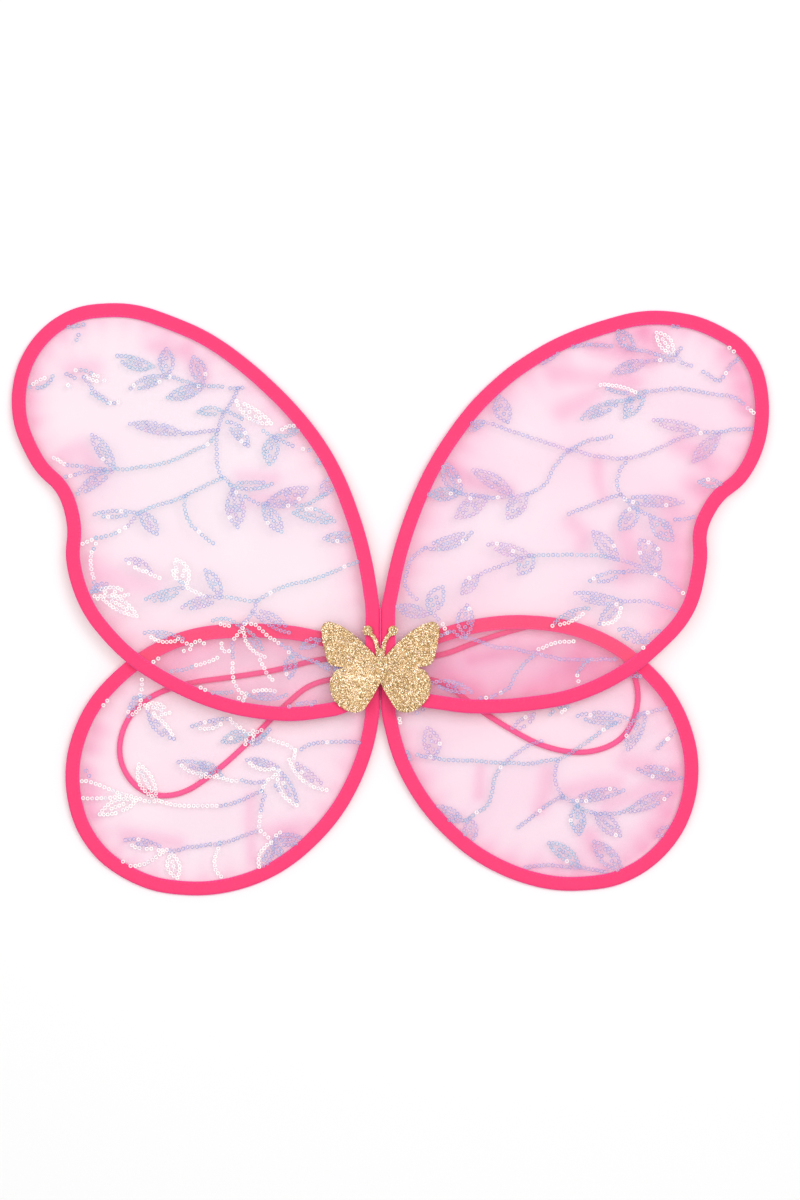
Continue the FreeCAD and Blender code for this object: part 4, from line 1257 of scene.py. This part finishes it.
def within(outline, points):
    """Which points lie inside a closed outline, by counting the edges that a ray crosses."""
    inside = np.zeros(len(points), bool)
    for (ax, ay), (bx, by) in zip(outline, np.roll(outline, -1, 0)):
        between = (ay > points[:, 1]) != (by > points[:, 1])
        if ay == by:
            continue
        cross = ax + (points[:, 1] - ay) / (by - ay) * (bx - ax)
        inside ^= between & (points[:, 0] < cross)
    return inside


def flake(dice, centre, normal):
    """Six corners of one hexagonal flake, facing roughly along a normal."""
    lean = Vector([dice.gauss(0, FLAKE_LEAN) for _ in range(3)])
    facing = (normal + lean).normalized()
    side = facing.orthogonal().normalized()
    up = facing.cross(side)
    radius = dice.uniform(*FLAKE_RADII) * MM
    spin = dice.uniform(0, math.tau)
    corners = []
    for step in range(6):
        angle = spin + step / 6 * math.tau
        corners.append(centre + (side * math.cos(angle) + up * math.sin(angle)) * radius)
    return corners


def flake_places(dice, outline, normal):
    """Where the flakes lie: all over the front, and down the cut edge. Each is a place and a normal."""
    flat = np.array([(point.x, point.y) for point in outline])

    def front_at(x, y):
        corner = outline[0]
        return corner.z - (normal.x * (x - corner.x) + normal.y * (y - corner.y)) / normal.z

    low, high = flat.min(0), flat.max(0)
    across, up = (int(span / FLAKE_PITCH) + 2 for span in high - low)
    spots = []
    for row in range(up):
        for column in range(across):
            x = low[0] + (column + row % 2 / 2 + dice.gauss(0, 0.25)) * FLAKE_PITCH
            y = low[1] + (row + dice.gauss(0, 0.25)) * FLAKE_PITCH
            spots.append((x, y))
    spots = np.array(spots)
    places = []
    for x, y in spots[within(flat, spots)]:
        places.append((Vector((x, y, front_at(x, y))) + normal * dice.uniform(*FLAKE_LIFTS) * MM, normal))
    wall = evenly(flat, FLAKE_PITCH * 1.1)
    for (x, y), (out_x, out_y) in zip(wall, outward_of(wall)):
        out = Vector((out_x, out_y, 0))
        for depth in WALL_DEPTHS:
            place = Vector((x, y, front_at(x, y) - depth * MM + dice.gauss(0, 0.1) * MM))
            places.append((place + out * FLAKE_LIFTS[0] * MM, out))
    return places


def flake_marks(dice, x, y):
    """A flake's kind and how light it is: most are tan gold, and a painted highlight makes those on the
    left wing lighter.
    """
    light = dice.betavariate(2.0, 2.4)
    # Painted highlight: left of the spine, flakes are lighter round x -15 mm, y -10 mm.
    if x < -4 * MM:
        painted_highlight = math.exp(-(((x + 15 * MM) / (15 * MM)) ** 2) - ((y + 10 * MM) / (14 * MM)) ** 2)
        light += 0.35 * painted_highlight * dice.random()
    if dice.random() < BRIGHT_FLAKES:
        light = dice.uniform(0.85, 1.0)
    return (dice.random(), min(light, 1), 0, 1)


def sheet_between(sign, start, end, name):
    """The butterfly's sheet on one side, from start to end out from the spine, cut across into strips."""
    strip = bmesh.new()
    strip.from_mesh(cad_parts["butterfly"].data)
    cuts = np.arange(start, BEND_END + BEND_STEP / 2, BEND_STEP)
    for away in cuts[(cuts > start) & (cuts < end)]:
        everything = [*strip.verts, *strip.edges, *strip.faces]
        bmesh.ops.bisect_plane(strip, geom=everything, plane_co=(sign * away, 0, 0), plane_no=(1, 0, 0))
    for away, keep in ((start, sign), (end, -sign)):
        everything = [*strip.verts, *strip.edges, *strip.faces]
        cut = bmesh.ops.bisect_plane(
            strip, geom=everything, plane_co=(sign * away, 0, 0), plane_no=(keep, 0, 0), clear_inner=True
        )
        rim = [edge for edge in cut["geom_cut"] if isinstance(edge, bmesh.types.BMEdge)]
        if rim:
            bmesh.ops.holes_fill(strip, edges=rim)
    mesh = bpy.data.meshes.new(name)
    strip.to_mesh(mesh)
    strip.free()
    made = bpy.data.objects.new(name, mesh)
    bpy.context.scene.collection.objects.link(made)
    return made


def glitter_between(dice, places, sign, start, end, name):
    """The flakes on the same stretch of sheet."""
    points = []
    faces = []
    marks = []
    for place, facing in places:
        if not start < place.x * sign <= end:
            continue
        faces.append(tuple(range(len(points), len(points) + 6)))
        points.extend(flake(dice, place, facing))
        marks.extend([flake_marks(dice, place.x, place.y)] * 6)
    made = mesh_object(name, points, faces, smooth=False)
    point_colours(made, "flake", marks)
    return made


def make_butterfly():
    """The glitter butterfly, as a middle and a wing stretch on each side of the spine."""
    outline, normal = front_edge("butterfly")
    dice = random.Random("glitter")
    places = flake_places(dice, outline, normal)
    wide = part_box("butterfly")[1].x + 2 * MM
    for side, sign in (("left", -1), ("right", 1)):
        stretches = (
            ("middle", 0, BEND_MIDDLE, BEND_MIDDLE, "hub", f"lower_{side}_wing"),
            ("wing", BEND_MIDDLE, wide, BEND_END, f"lower_{side}_wing", f"upper_{side}_wing"),
        )
        for word, start, end, bent, still, moving in stretches:
            name = f"butterfly_{side}_{word}"
            sheet = finish(sheet_between(sign, start, end, name), "glitter_sheet", "glitter_sheet")
            glitter = glitter_between(dice, places, sign, start, end, f"{name}_glitter")
            finish(glitter, "flake", "glitter_sheet")
            for made in (sheet, glitter):
                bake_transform(made)
            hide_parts("butterfly")


# ---------------------------------------------------------------- build

for lobe, hoop in HOOPS.items():
    sequins, sewing = make_sequins(hoop)
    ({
        "panel": make_panel(hoop),
        "binding": make_binding(hoop),
        "stitches": make_stitches(hoop),
        "sequins": sequins,
        "sewing": sewing,
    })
    dress_node(f"{lobe}_wire", "steel")
    dress_node(f"{lobe}_ferrule", "brass")

for strap in STRAP_ROUTES:
    make_strap(strap)

make_pad()
make_bar_tacks()
make_spine_seam()
make_butterfly()
dress_node("back_pad_card", "board")
dress_node("spine_tape", "tape")

# ---------------------------------------------------------------- floor, light and camera


FLOOR_HALF = 6.0
CAMERA_HEIGHT = 2.4
VIEW_HEIGHT = 792.6 * MM
VIEW_MIDDLE = (12.9 * MM, 41.0 * MM)
# Name, place, size in metres and power in watts; each faces the wings' middle.
LIGHTS = [
    ("key", (1.1, 0.8, 2.2), 1.5, 21),
    ("fill", (-1.3, 0.4, 2.1), 2.2, 13),
    ("top", (0, -0.1, 2.6), 1.8, 19),
]


def make_floor():
    corners = [(x * FLOOR_HALF, y * FLOOR_HALF, 0) for x, y in ((-1, -1), (1, -1), (1, 1), (-1, 1))]
    floor = mesh_object("floor", corners, [(0, 1, 2, 3)], smooth=False)
    white = Shader("studio_floor", Roughness=0.95)
    white.surface.inputs["Base Color"].default_value = (0.94, 0.94, 0.94, 1)
    white.surface.inputs["Specular IOR Level"].default_value = 0.0
    floor.data.materials.append(white.material)


def soft_light(name, place, size, watts):
    """A large soft area light that faces the middle."""
    lamp = bpy.data.lights.new(name, "AREA")
    lamp.shape = "DISK"
    lamp.size = size
    lamp.energy = watts
    holder = bpy.data.objects.new(name, lamp)
    holder.location = place
    holder.rotation_euler = (-Vector(place)).to_track_quat("-Z", "Y").to_euler()
    bpy.context.scene.collection.objects.link(holder)


def make_studio():
    make_floor()
    for light in LIGHTS:
        soft_light(*light)
    world = bpy.data.worlds.new("studio")
    world.use_nodes = True
    glow = world.node_tree.nodes["Background"].inputs
    glow["Color"].default_value = (1, 1, 1, 1)
    glow["Strength"].default_value = 0.45
    bpy.context.scene.world = world
    bpy.context.scene.view_settings.view_transform = "Standard"


def make_camera():
    """Straight down on the wings, as they lie."""
    lens = bpy.data.cameras.new("camera")
    lens.sensor_fit = "VERTICAL"
    lens.sensor_height = 36
    lens.clip_end = 20
    lens.lens = lens.sensor_height * CAMERA_HEIGHT / VIEW_HEIGHT
    camera = bpy.data.objects.new("camera", lens)
    camera.location = (*VIEW_MIDDLE, CAMERA_HEIGHT)
    bpy.context.scene.collection.objects.link(camera)
    bpy.context.scene.camera = camera


make_studio()
make_camera()
